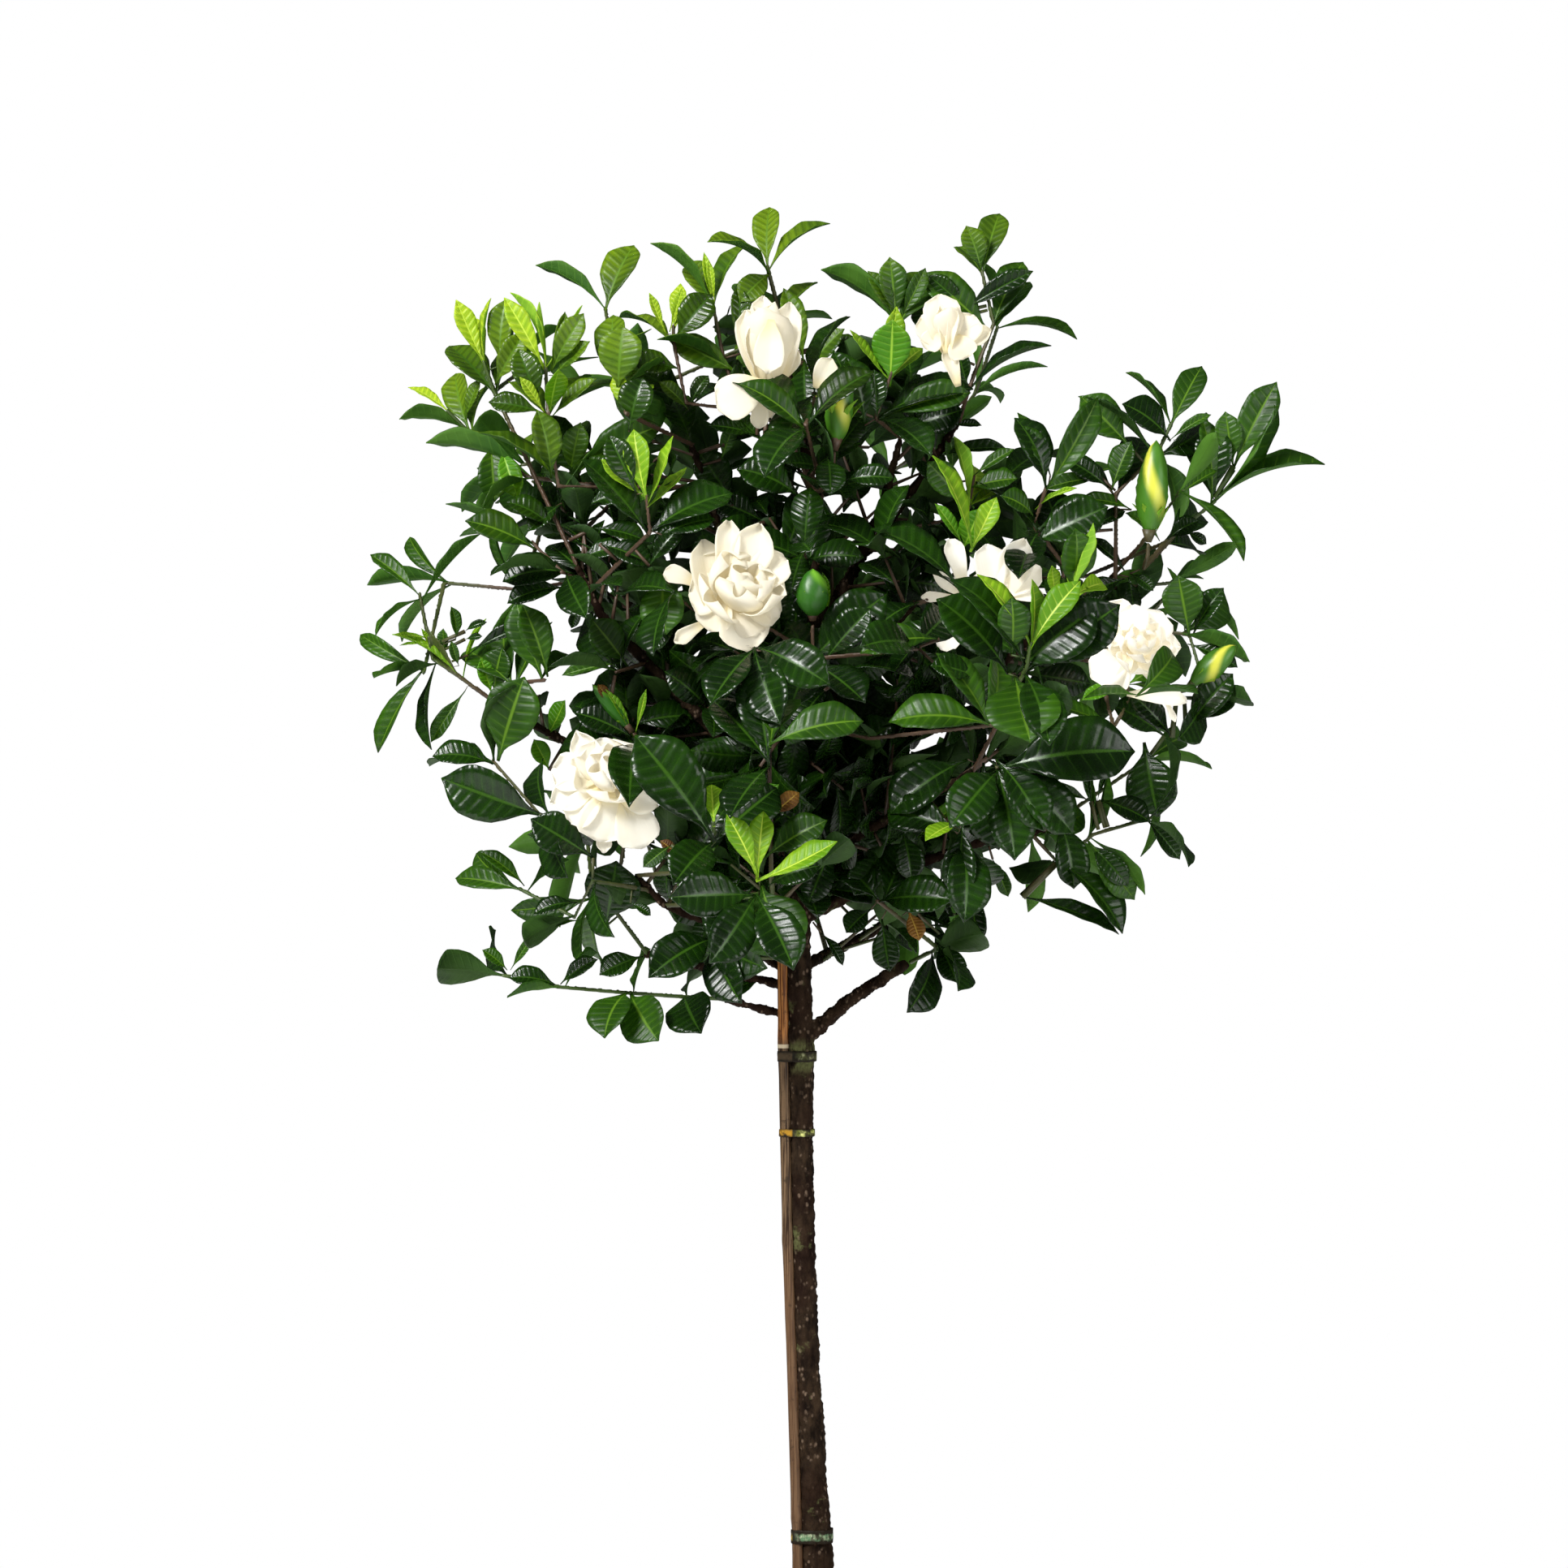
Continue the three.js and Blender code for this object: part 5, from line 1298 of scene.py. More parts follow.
# %% [markdown]
# ## Leaves along the shoots
#
# Real shoots bear leaves all the way up, not only at the joints that the fixed model gives them. Where a
# shoot has a free stretch of skin, a plain leaf is laid out from it.

# %% Fill the shoots
LEAVES_WANTED = 8
TRIES = 14
SHOOT_LEAF_SPACING = 9 * MM
SHOOT_LEAF_LENGTHS = (34, 50)
TIP_MARGIN = 8 * MM
OUTER = 0.7


def shoot_leaves(node):
    """Extra leaves on one spray's shoots, as far as there is room."""
    mesh = merged_mesh(node)
    roots = [leaf["base"] for leaf in spray_leaves[node]]
    tips = [leaf["tip"] for leaf in spray_leaves[node]]
    skin = [each for each in mesh.verts if all((each.co - tip).length > TIP_MARGIN for tip in tips)]
    grown = []
    for _ in range(LEAVES_WANTED * TRIES):
        if len(grown) >= LEAVES_WANTED or not skin:
            break
        corner = random.choice(skin)
        root = corner.co.copy()
        if any((root - other).length < SHOOT_LEAF_SPACING for other in roots):
            continue
        outward = (root - CROWN_CENTRE).normalized()
        along = (corner.normal * 1.1 + outward * 0.5 + jitter(0.5)).normalized()
        up = (outward * 0.5 + Vector((0, 0, 0.8)) + jitter(0.3)).normalized()
        length = random.uniform(*SHOOT_LEAF_LENGTHS) * MM
        strip = strip_of(root, along, along.cross(up).normalized(), length)
        if not has_room(strip):
            continue
        take(strip)
        roots.append(root)
        age = "back" if crown_depth(root) > OUTER else "inner"
        grown.append(place(random.choice(leaves[age]), root - along * MM, along, up, length))
    mesh.free()
    return grown


extra = []
for node in sorted(spray_leaves):
    extra.extend(shoot_leaves(node))
print("extra leaves:", len(extra))
dress(join("shoot_leaves", extra), "leaf")

# %% [markdown]
# ## Petal and bud finishes
#
# A petal is waxy and creamy white, and warmer towards its foot: partly its own cream, partly painted shade
# where the layers overlap. It lets much light through, and a little painted glow stands for the light that
# bounces between the petals. The blooms in the strongest light get twice the painted glow, and older ones are
# creamier, so there are three tones of the one finish.

# %% Petal finish
# Strength and colour of the petals' painted glow.
PAINTED_PETAL_GLOW = 0.1
PAINTED_GLOW_COLOUR = rgb(1.0, 0.93, 0.76)
PETAL_LIGHT = rgb(0.96, 0.93, 0.83)
PETAL_SHARE = 0.44


def petal_finish(name, light, warm, foot_cream_and_shade, glow=PAINTED_PETAL_GLOW):
    """Waxy creamy white, with a foot that is partly cream and partly painted shade, faint ribs along the
    petal and a painted glow.
    """
    finish = Finish(name)
    across, along = finish.sheet_place()
    place = finish.object_place()
    foot = finish.ramp(along, 0.05, 0.5, 1.0, 0.0)
    cloud = finish.ramp(finish.noise(place, 60.0), 0.35, 0.7, 0.0, 0.4)
    cream = finish.mix(cloud, light, warm)
    # The foot's tone is partly the petal's own cream and partly painted shade of the folds where the layers
    # overlap.
    colour = finish.mix(foot, cream, foot_cream_and_shade)
    drawn = finish.add("CombineXYZ", {"X": finish.sum("MULTIPLY", across, 22.0), "Y": along}).outputs[0]
    normal = finish.bump(finish.noise(drawn, 1.0, 2.0), 0.3, 0.0006)
    # Painted light: a weak warm glow stands for the light that bounces between the petals.
    painted_glow = {"Emission Color": PAINTED_GLOW_COLOUR, "Emission Strength": glow}
    surface = finish.skin(colour, 0.5, normal, 0.35, **painted_glow)
    return finish.lit_through(PETAL_SHARE, surface, Color=PETAL_LIGHT)


def bud_finish(name, green, pale, streak, folds):
    """A rolled bud: pale petal edges wind up its green."""
    finish = Finish(name)
    around, along = finish.sheet_place()
    place = finish.object_place()
    winding = finish.sum("MULTIPLY_ADD", along, 0.5, finish.sum("MULTIPLY", around, folds))
    wave = finish.sum("PINGPONG", winding, 0.5)
    edge = finish.ramp(wave, 0.03, streak, 1.0, 0.0)
    tone = finish.mix(finish.noise(place, 120.0), green, [channel * 0.7 for channel in green[:3]] + [1])
    colour = finish.mix(finish.sum("MULTIPLY", edge, finish.ramp(along, 0.12, 0.5)), tone, pale)
    normal = finish.bump(wave, 0.5, 0.0008)
    return finish.close(finish.skin(colour, 0.4, normal))


petal_white = petal_finish("petal_white", rgb(0.96, 0.94, 0.88), rgb(0.93, 0.89, 0.76), rgb(0.9, 0.81, 0.5))
# Painted light: a slightly lighter copy of the petal finish with twice the painted glow, for the blooms in
# the strongest light.
petal_bright = petal_finish(
    "petal_bright", rgb(0.97, 0.955, 0.92), rgb(0.95, 0.92, 0.84), rgb(0.92, 0.85, 0.66), 2 * PAINTED_PETAL_GLOW
)
petal_cream = petal_finish("petal_cream", rgb(0.85, 0.81, 0.7), rgb(0.82, 0.755, 0.55), rgb(0.83, 0.72, 0.41))
bud_green_skin = bud_finish("bud_green_skin", rgb(0.025, 0.13, 0.006), rgb(0.13, 0.34, 0.02), 0.2, 1.0)
bud_yellow_skin = bud_finish("bud_yellow_skin", rgb(0.06, 0.2, 0.01), rgb(0.62, 0.62, 0.06), 0.24, 2.0)


# %% [markdown]
# ## Petals
#
# A double gardenia has whorls of petals round a rolled heart. Outer petals lie back, broad and slightly
# ruffled. Inner ones stand up and wrap round the heart like hands round a ball, so their rims show as nested
# curves. A petal is a sheet too, and what makes it wrap is its cross-section: its width is laid along an arc.

# %% Petal templates
PETAL_OUTLINE = [
    (0, 0.2), (0.15, 0.4), (0.32, 0.7), (0.5, 0.9), (0.66, 1.0), (0.8, 0.97), (0.9, 0.83),
    (0.96, 0.6), (1, 0.25),
]
POINTED_OUTLINE = [
    (0, 0.2), (0.2, 0.5), (0.42, 0.88), (0.6, 1.0), (0.76, 0.88), (0.88, 0.58), (0.96, 0.28), (1, 0.06),
]
SLIM_OUTLINE = [(0, 0.35), (0.3, 0.6), (0.6, 0.9), (0.8, 1.0), (0.92, 0.8), (1, 0.35)]
PETAL_THICKNESS = 0.014
PETAL_GRID = 10
RIM_SWING = 1.9


def petal_rule(wrap, ruffle, phase):
    """The width laid along an arc of the given half angle, and a rim that ruffles."""

    def rule(out, t, row):
        angle = math.radians(wrap) * out * min(1.0, t * 2.5)
        squeeze = math.sin(angle) / angle if angle else 1.0
        lift = 0.45 * out * (1 - math.cos(angle)) / angle if angle else 0.0
        rim = ruffle * math.sin(5.0 * out + phase) * t ** 2
        return squeeze, -0.06 * out * out * t, lift + rim

    return rule


def petal_templates(label, width, outline, wrap, ruffle, bends):
    """One petal shape in several bends."""
    made = []
    for number, (degrees, twist) in enumerate(bends):
        petal = Sheet(f"{label}_petal_{number}", PETAL_GRID, PETAL_GRID)
        petal.shape(outline, width, petal_rule(wrap, ruffle, RIM_SWING * number))
        petal.bend(degrees, twist, start=2)
        petal.level()
        made.append(petal.finish(PETAL_THICKNESS, petal_white, petal_white))
    return made


PETAL_KINDS = {
    "open": (0.98, PETAL_OUTLINE, 22, 0.02, [(-30, 8), (-18, -10), (-42, 6), (-10, 8)]),
    "pointed": (0.9, POINTED_OUTLINE, 26, 0.02, [(-26, 10), (-14, -10), (-38, 8)]),
    "cup": (1.12, PETAL_OUTLINE, 58, 0.012, [(34, 4), (42, -4), (26, 3)]),
    "wrap": (1.3, PETAL_OUTLINE, 92, 0.01, [(40, 6), (48, -5), (32, 8)]),
    "slim": (0.36, SLIM_OUTLINE, 30, 0.015, [(-30, 10), (24, -8)]),
}
petals = {kind: petal_templates(kind, *plan) for kind, plan in PETAL_KINDS.items()}
print("petal shapes:", {kind: len(shapes) for kind, shapes in petals.items()})

# %% [markdown]
# ## Rolled spindle
#
# The heart of a bloom is a bud that has not opened yet, and the buds themselves are the same: a spindle of
# rolled petals that wind up to its point. A ball is scaled ring by ring to the spindle's profile, its ridges
# are pulled out and it is twisted from foot to tip.

# %% Rolled spindle
BUD_PROFILE = [
    (0, 0.0), (0.06, 0.34), (0.18, 0.72), (0.36, 0.98), (0.52, 1.0), (0.7, 0.84), (0.84, 0.6),
    (0.94, 0.34), (1, 0.0),
]
BUD_RINGS = 14
BUD_SIDES = 20
BUD_LOBES = 5
BUD_RIDGE = 1.09
BUD_TWIST = 1.5


def bud_template():
    """A twisted spindle of unit length and radius, standing on the origin."""
    drop_selection()
    bpy.ops.mesh.primitive_uv_sphere_add(segments=BUD_SIDES, ring_count=BUD_RINGS, radius=1)
    bud = bpy.context.object
    rings = {}
    for vert in bud.data.vertices:
        ring = round(math.acos(max(-1.0, min(1.0, -vert.co.z))) / math.pi * BUD_RINGS)
        rings.setdefault(ring, []).append(vert.index)
    bpy.ops.object.mode_set(mode="EDIT")
    for ring, indices in rings.items():
        t = ring / BUD_RINGS
        mesh = bmesh.from_edit_mesh(bud.data)
        mesh.verts.ensure_lookup_table()
        here = mesh.verts[indices[0]].co.copy()
        radius = math.hypot(here.x, here.y)
        choose(bud, indices)
        size = between(BUD_PROFILE, t) / radius if radius > 1e-4 else 1
        bpy.ops.transform.resize(value=(size, size, 1), center_override=(0, 0, here.z))
        bpy.ops.transform.translate(value=(0, 0, t - here.z))
        if len(indices) > 1:
            choose(bud, sorted(indices)[::BUD_SIDES // BUD_LOBES])
            bpy.ops.transform.resize(value=(BUD_RIDGE, BUD_RIDGE, 1), center_override=(0, 0, t))
            choose(bud, indices)
            bpy.ops.transform.rotate(value=BUD_TWIST * t, orient_axis="Z", center_override=(0, 0, t))
    bpy.ops.object.mode_set(mode="OBJECT")
    bpy.ops.object.shade_smooth()
    templates.append(bud)
    return bud


spindle = bud_template()
print("spindle faces:", len(spindle.data.polygons))

# %% [markdown]
# ## Blooms
#
# Each bloom is told by its centre, the way it faces, the way its heart leans, the style of its inner whorls
# and the petals that are seen one by one. A petal of a whorl is told by its tilt away from the bloom's axis
# and its length, and is rolled a little about its own length, so that the whorl overlaps like a fan of
# cards. A petal that is seen is told as a single leaf is: where its foot and its tip are seen, how much
# nearer than the bloom's middle it lies, and its width factor. A pale tube and five narrow sepals hold the
# bloom on its stalk.

# %% Inner whorls
WHORLS = {
    "open": [("cup", 3, 48, 37, 1.15), ("wrap", 3, 32, 35, 1.2), ("wrap", 3, 17, 32, 1.15)],
    "wide": [("cup", 3, 50, 30, 1.15), ("wrap", 3, 30, 28, 1.1), ("wrap", 2, 14, 26, 1.1)],
    "small": [("cup", 4, 54, 25, 1.0), ("cup", 3, 38, 23, 1.0), ("wrap", 3, 22, 20, 1.0)],
    "tulip": [("cup", 3, 9, 58, 0.6), ("wrap", 3, 6, 56, 0.55), ("wrap", 2, 3, 50, 0.45)],
    "bell": [("cup", 2, 22, 30, 0.7), ("wrap", 2, 12, 28, 0.7)],
    "shut": [("wrap", 3, 16, 20, 0.9)],
}
HEARTS = {
    "open": (28, 9), "wide": (22, 7), "small": (17, 6), "tulip": (48, 8), "bell": (26, 6), "shut": (16, 6),
}
print("petals in the whorls:", {style: sum(row[1] for row in rows) for style, rows in WHORLS.items()})

# %% Six blooms
BLOOMS = {
    "bloom_main": {
        "centre": (-50, -112, 941), "facing": (0.12, -0.82, 0.55), "heart": (0.36, -0.7, 0.62), "tube": 20,
        "skin": petal_cream,
        "inside": "open",
        "seen": [
            ("open", -60, 925, -70, 979, 0, 0.5), ("open", -55, 945, -53, 991, 2, 0.36),
            ("pointed", -44, 948, -33, 989, 1, 0.75), ("open", -42, 945, -16.5, 967, 3, 0.8),
            ("open", -45, 938, -20, 931, 4, 0.9), ("open", -52, 945, -79, 943, 2, 1.1),
            ("open", -55, 945, -65, 920, 4, 1.0), ("pointed", -50, 942, -39, 906, 6, 1.05),
            ("open", -48, 940, -32, 919, 5, 1.0), ("slim", -74, 951, -95, 957, -4, 1.7),
            ("slim", -68, 926, -88, 913, 0, 1.2),
        ],
    },
    "bloom_top": {
        "centre": (-26, -66, 1078), "facing": (-0.1, -0.3, 0.95), "heart": (-0.12, -0.3, 0.94), "tube": 16,
        "skin": petal_cream,
        "inside": "tulip",
        "seen": [
            ("open", -33, 1078, -42, 1126, 6, 0.42), ("open", -21, 1074, -14, 1131, 6, 0.34),
            ("open", -32, 1092, -31, 1135, 2, 0.4), ("open", -26, 1120, -28, 1085, 27, 0.6),
            ("pointed", -18, 1082, -10, 1103, 8, 0.8), ("open", -29, 1079, -60, 1062, 18, 0.95),
            ("slim", -30, 1073, -34, 1050, 14, 1.4), ("slim", -26, 1071, -29, 1056, 10, 1.4),
            ("open", 2, 1076, 13, 1095, 6, 0.7),
        ],
    },
    "bloom_half_right": {
        "centre": (87, -70, 1106), "facing": (-0.24, -0.15, 0.96), "heart": (-0.1, -0.2, 0.97), "tube": 20,
        "skin": petal_cream,
        "inside": "bell",
        "seen": [
            ("open", 86, 1098, 82, 1136, 4, 0.66), ("open", 88, 1100, 71, 1123, 2, 0.85),
            ("open", 90, 1100, 104, 1123, 5, 0.85), ("pointed", 94, 1104, 115, 1113, 3, 0.7),
            ("open", 92, 1110, 99, 1095, 8, 1.2), ("open", 84, 1114, 73, 1101, 6, 0.9),
            ("slim", 86, 1098, 83, 1129, 10, 0.7), ("slim", 88, 1098, 92, 1126, 9, 0.7),
            ("slim", 94, 1077, 86, 1101, 4, 1.15),
        ],
    },
    "bloom_right_hidden": {
        "centre": (118, -62, 944), "facing": (0.05, -0.6, 0.8), "heart": (0.05, -0.6, 0.8), "tube": 18,
        "skin": petal_bright,
        "inside": "shut",
        "seen": [
            ("slim", 97, 949, 88, 979, 6, 1.2), ("pointed", 97, 943, 77, 958, 4, 0.5),
            ("slim", 92, 942, 70, 942, 2, 0.9), ("open", 117, 940, 112, 976, 6, 0.62),
            ("pointed", 124, 940, 137, 979, 4, 0.66), ("open", 120, 942, 147, 961, 6, 0.62),
            ("open", 128, 942, 149, 943, 8, 0.5), ("open", 120, 944, 100, 952, 8, 0.75),
            ("open", 99, 924, 82, 909, 2, 0.8),
        ],
    },
    "bloom_far_right": {
        "centre": (208, -60, 910), "facing": (0.16, -0.93, 0.34), "heart": (0.2, -0.9, 0.4), "tube": 20,
        "skin": petal_bright,
        "inside": "small",
        "seen": [
            ("open", 207, 910, 187, 938, 0, 0.8), ("open", 208, 912, 205, 937, 2, 0.8),
            ("open", 210, 908, 224, 933, 0, 0.95), ("pointed", 208, 908, 237, 910, 2, 1.0),
            ("open", 208, 906, 227, 890, 3, 0.9), ("pointed", 206, 914, 177, 919, 4, 0.6),
            ("open", 206, 906, 179, 890, 3, 0.8), ("slim", 205, 905, 198, 881, 6, 1.2),
            ("open", 202, 880, 241, 875, 4, 0.34), ("slim", 227, 876, 233, 862, 2, 0.8),
        ],
    },
    "bloom_left": {
        "centre": (-131, -92, 824), "facing": (-0.1, -0.86, 0.5), "heart": (0.16, -0.7, 0.7), "tube": 18,
        "skin": petal_white,
        "inside": "wide",
        "seen": [
            ("open", -132, 818, -134, 852, -2, 1.25), ("pointed", -134, 820, -151, 857, -3, 0.6),
            ("open", -134, 826, -167, 831, 0, 0.8), ("pointed", -136, 822, -168, 810, 1, 0.75),
            ("open", -134, 818, -155, 798, 2, 0.8), ("open", -130, 818, -136, 785, 4, 1.1),
            ("open", -120, 814, -108, 781, 3, 0.85), ("pointed", -124, 814, -98, 808, 5, 0.75),
            ("slim", -134, 800, -133, 778, 0, 1.3), ("open", -128, 820, -110, 842, 0, 1.0),
        ],
    },
}
print("petals told one by one:", sum(len(plan["seen"]) for plan in BLOOMS.values()))

# %% Parts of a flower
STEM_SIDES = 10
SEPALS = 5
SEPAL_HEIGHT = 4 * MM
FOOT_RADIUS = 1.6 * MM
LAYER_STEP = 0.9 * MM
PETAL_ROLL = 0.16
SEPAL_PLANS = {
    "bloom": {"age": "inner", "start": 0, "rise": 0.75, "spread": 0.66, "open": 1, "widen": 0.36},
    "bud": {"age": "young", "start": 0.4, "rise": 0.9, "spread": 0.42, "open": 0, "widen": 0.5},
}


def ring_axes(axis):
    """Two directions square to an axis: rightwards and upwards as seen from the front."""
    across = (Vector((1, 0, 0)) - axis * axis.x).normalized()
    return across, axis.cross(across)


def spoke(axis, turn):
    """The direction outwards from an axis at a turn."""
    across, beside = ring_axes(axis)
    return across * math.cos(turn) + beside * math.sin(turn)


def add_stem(foot, top, foot_radius, top_radius, skin):
    """A short tapered stem between two points."""
    drop_selection()
    way = top - foot
    bpy.ops.mesh.primitive_cone_add(
        vertices=STEM_SIDES, radius1=foot_radius, radius2=top_radius, depth=way.length,
        location=(foot + top) / 2, rotation=way.to_track_quat("Z", "Y").to_euler(),
    )
    stem = bpy.context.object
    bpy.ops.object.transform_apply()
    paint(stem, skin)
    return stem


def place_spindle(foot, axis, length, radius, skin):
    """A rolled spindle standing on a point."""
    across, beside = ring_axes(axis)
    body = twin(spindle)
    body.data.materials.append(skin)
    turn = laid_along(across * radius, beside * radius, axis * length)
    body.matrix_world = Matrix.Translation(foot) @ turn
    return body


def sepals(kind, base, axis, length, off_axis=0.0):
    """Narrow leaves that clasp the foot of a flower."""
    plan = SEPAL_PLANS[kind]
    made = []
    for i in range(SEPALS):
        out = spoke(axis, i * 2 * math.pi / SEPALS + plan["start"])
        along = (axis * plan["rise"] + out * plan["spread"]).normalized()
        foot = base + axis * SEPAL_HEIGHT + out * off_axis
        up = axis * plan["open"] - out
        made.append(place(random.choice(leaves[plan["age"]]), foot, along, up, length, plan["widen"]))
    return made


def lay_petal(kind, root, axis, turn, tilt, length, widen, level):
    """One petal of a whorl."""
    lean = math.radians(tilt)
    out = spoke(axis, turn)
    along = out * math.sin(lean) + axis * math.cos(lean)
    up = axis * math.sin(lean) - out * math.cos(lean) + axis.cross(out) * PETAL_ROLL
    base = root + axis * (level * LAYER_STEP) + out * FOOT_RADIUS
    return place(random.choice(petals[kind]), base, along, up, length * MM, widen)


print("parts of a flower: stem, spindle, sepals and petals")

# %% Make the blooms
TUBE_DEPTH = 5 * MM
TUBE_TOP = 0.6
TUBE_RADII = (2.4 * MM, 5.2 * MM)
PETAL_FOOT = 8 * MM
HEART_RISE = 3
BLOOM_SEPAL = 15 * MM


def whorl_petals(plan, root, axis):
    """The inner whorls, whose axis leans over from the bloom's to its heart's."""
    core = Vector(plan["heart"]).normalized()
    heart_length, heart_radius = HEARTS[plan["inside"]]
    heart_foot = root + axis * HEART_RISE * MM
    made = [place_spindle(heart_foot, core, heart_length * MM, heart_radius * MM, petal_white)]
    whorls = WHORLS[plan["inside"]]
    for level, (kind, count, tilt, length, widen) in enumerate(whorls, 1):
        phase = random.uniform(0, 2 * math.pi)
        lean_axis = axis.lerp(core, level / len(whorls)).normalized()
        for i in range(count):
            turn = phase + i * 2 * math.pi / count + random.uniform(-0.15, 0.15)
            lean = tilt + random.uniform(-3, 3)
            reach = length * random.uniform(0.96, 1.04)
            made.append(lay_petal(kind, root, lean_axis, turn, lean, reach, widen, level))
    return made


def seen_petals(plan, depth):
    """The petals that are told one by one."""
    made = []
    for kind, base_x, base_z, tip_x, tip_z, nearer, widen in plan["seen"]:
        base = on_sight_line(base_x, base_z, depth - nearer * MM)
        way = on_sight_line(tip_x, tip_z, depth - nearer * MM) - base
        up = towards_viewer(0.2, 0.3)
        made.append(place(random.choice(petals[kind]), base, way.normalized(), up, way.length, widen))
    return made


def make_bloom(name, plan):
    """One bloom with its tube, heart, whorls, seen petals and sepals."""
    x, depth, z = plan["centre"]
    middle = on_sight_line(x, z, depth * MM)
    axis = Vector(plan["facing"]).normalized()
    root = middle - axis * PETAL_FOOT
    tube_foot = middle - axis * (TUBE_DEPTH + plan["tube"] * MM)
    parts = [add_stem(tube_foot, middle - axis * TUBE_DEPTH * TUBE_TOP, *TUBE_RADII, petal_white)]
    parts += whorl_petals(plan, root, axis)
    parts += seen_petals(plan, middle.y)
    parts += sepals("bloom", tube_foot, axis, BLOOM_SEPAL)
    bloom = join(name.replace("bloom_", "flower_"), parts)
    for each in bloom.material_slots:
        if each.material == petal_white:
            each.material = plan["skin"]
    dress(bloom, "petal", name)
    return bloom


blooms = {name: make_bloom(name, plan) for name, plan in BLOOMS.items()}
print("blooms:", {name: len(bloom.data.polygons) for name, bloom in blooms.items()})

# %% [markdown]
# ## Buds
#
# A bud is the rolled spindle with its own skin: green while it is young, and turning yellow before it opens.
# Narrow sepals clasp it. Each is told by its foot, its tip, its radius and the length of its sepals, in
# millimetres.

# %% Buds
BUDS = {
    "bud_green": ((0, -110, 923), (0, -115, 955), 9.8, 17, bud_green_skin),
    "bud_top": ((14, -80, 1030), (20, -82, 1083), 8.5, 32, bud_yellow_skin),
    "bud_right_up": ((214, -22, 976), (219, -24, 1041), 10, 22, bud_yellow_skin),
    "bud_right_low": ((238, -34, 883), (268, -40, 910), 8, 14, bud_yellow_skin),
    "bud_small_left": ((-113, -60, 855), (-138, -64, 885), 4.6, 9, bud_green_skin),
}
CALYX = 8


def make_bud(name, foot, tip, radius, sepal, skin):
    """One bud with its calyx and sepals."""
    base = Vector(foot) * MM
    axis = (Vector(tip) * MM - base).normalized()
    length = (Vector(tip) * MM - base).length
    parts = [
        place_spindle(base + axis * length * 0.05, axis, length * 0.95, radius * MM, skin),
        add_stem(base, base + axis * CALYX * MM, 2 * MM, radius * 0.5 * MM, green_stem),
    ]
    parts += sepals("bud", base, axis, sepal * MM, radius * 0.3 * MM)
    bud = join(name.replace("bud_", "rolled_bud_"), parts)
    dress(bud, "bud", name)
    return bud


buds = {name: make_bud(name, *plan) for name, plan in BUDS.items()}
print("buds:", len(buds))

# %% [markdown]
# ## Trunk and limbs
#
# The trunk is dark and rough, with pale corky specks, patches of lichen and a mossy collar just under the
# crown. The fixed model's trunk has eight sides. It is remeshed finely so that its forks flow together,
# smoothed, given the thickness of the bark, shifted by less than a millimetre so that the bark does not
# grow over the cane, and roughened by cloudy noise of two sizes: knobs that a hand would feel, and the
# bark's small cracks.

# %% Bark finish
COLLAR_HEIGHT = 0.648


def bark_finish():
    """Almost black brown with pale specks, and lichen in places."""
    finish = Finish("bark")
    place = finish.object_place()
    drawn = finish.stretched(place, (1.0, 1.0, 0.45))
    grain = finish.noise(drawn, 130.0, 6.0, 0.65)
    broad = finish.noise(place, 16.0, 3.0)
    brown = finish.mix(finish.ramp(grain, 0.3, 0.72), rgb(0.004, 0.0018, 0.0008), rgb(0.04, 0.024, 0.013))
    red = finish.mix(finish.ramp(broad, 0.42, 0.62, 0.0, 0.6), brown, rgb(0.012, 0.004, 0.002))
    cells = finish.add("TexVoronoi", {"Vector": finish.stretched(place, (1.0, 1.0, 0.7)), "Scale": 300.0})
    speck = finish.ramp(cells.outputs["Distance"], 0.16, 0.42, 0.8, 0.0)
    speck = finish.sum("MULTIPLY", speck, finish.ramp(finish.noise(place, 90.0), 0.46, 0.62))
    specked = finish.mix(speck, red, rgb(0.16, 0.11, 0.075))
    lichen = finish.ramp(finish.noise(place, 34.0, 5.0, 0.7), 0.6, 0.7)
    from_collar = finish.from_middle(finish.axis(place, "Z"), COLLAR_HEIGHT)
    collar = finish.ramp(from_collar, 0.005, 0.013, 1.0, 0.0)
    crust = finish.ramp(grain, 0.4, 0.62)
    patchy = finish.sum("MAXIMUM", finish.sum("MULTIPLY", lichen, 0.7), finish.sum("MULTIPLY", collar, crust))
    colour = finish.mix(patchy, specked, rgb(0.11, 0.12, 0.045))
    normal = finish.bump(finish.sum("MULTIPLY_ADD", speck, 0.4, grain), 1.0, 0.0018)
    return finish.close(finish.skin(colour, 0.82, normal, 0.08))


bark = bark_finish()

# %% Woody trunk
BARK_THICKNESS = 1 * MM
TRUNK_SHIFT = (-0.8 * MM, 0, 0)
KNOBS = (16 * MM, 2.2 * MM)
CRACKS = (4 * MM, 2.4 * MM)


def shape_all(piece, operator, **settings):
    """Uses an edit mode operator on a piece's whole mesh."""
    hold(piece)
    bpy.ops.object.mode_set(mode="EDIT")
    bpy.ops.mesh.select_all(action="SELECT")
    operator(**settings)
    bpy.ops.object.mode_set(mode="OBJECT")


def copy_of(node, name):
    """A new piece with a node's mesh, its loose triangles joined."""
    return new_piece(name, merged_mesh(node))


def roughen(piece, size, strength, depth=3, **settings):
    """Pushes a surface in and out by cloudy noise of a size."""
    clouds = bpy.data.textures.new(f"clouds_{size}", "CLOUDS")
    clouds.noise_scale = size
    clouds.noise_depth = depth
    apply_modifier(piece, "DISPLACE", texture=clouds, strength=strength, mid_level=0.5, **settings)


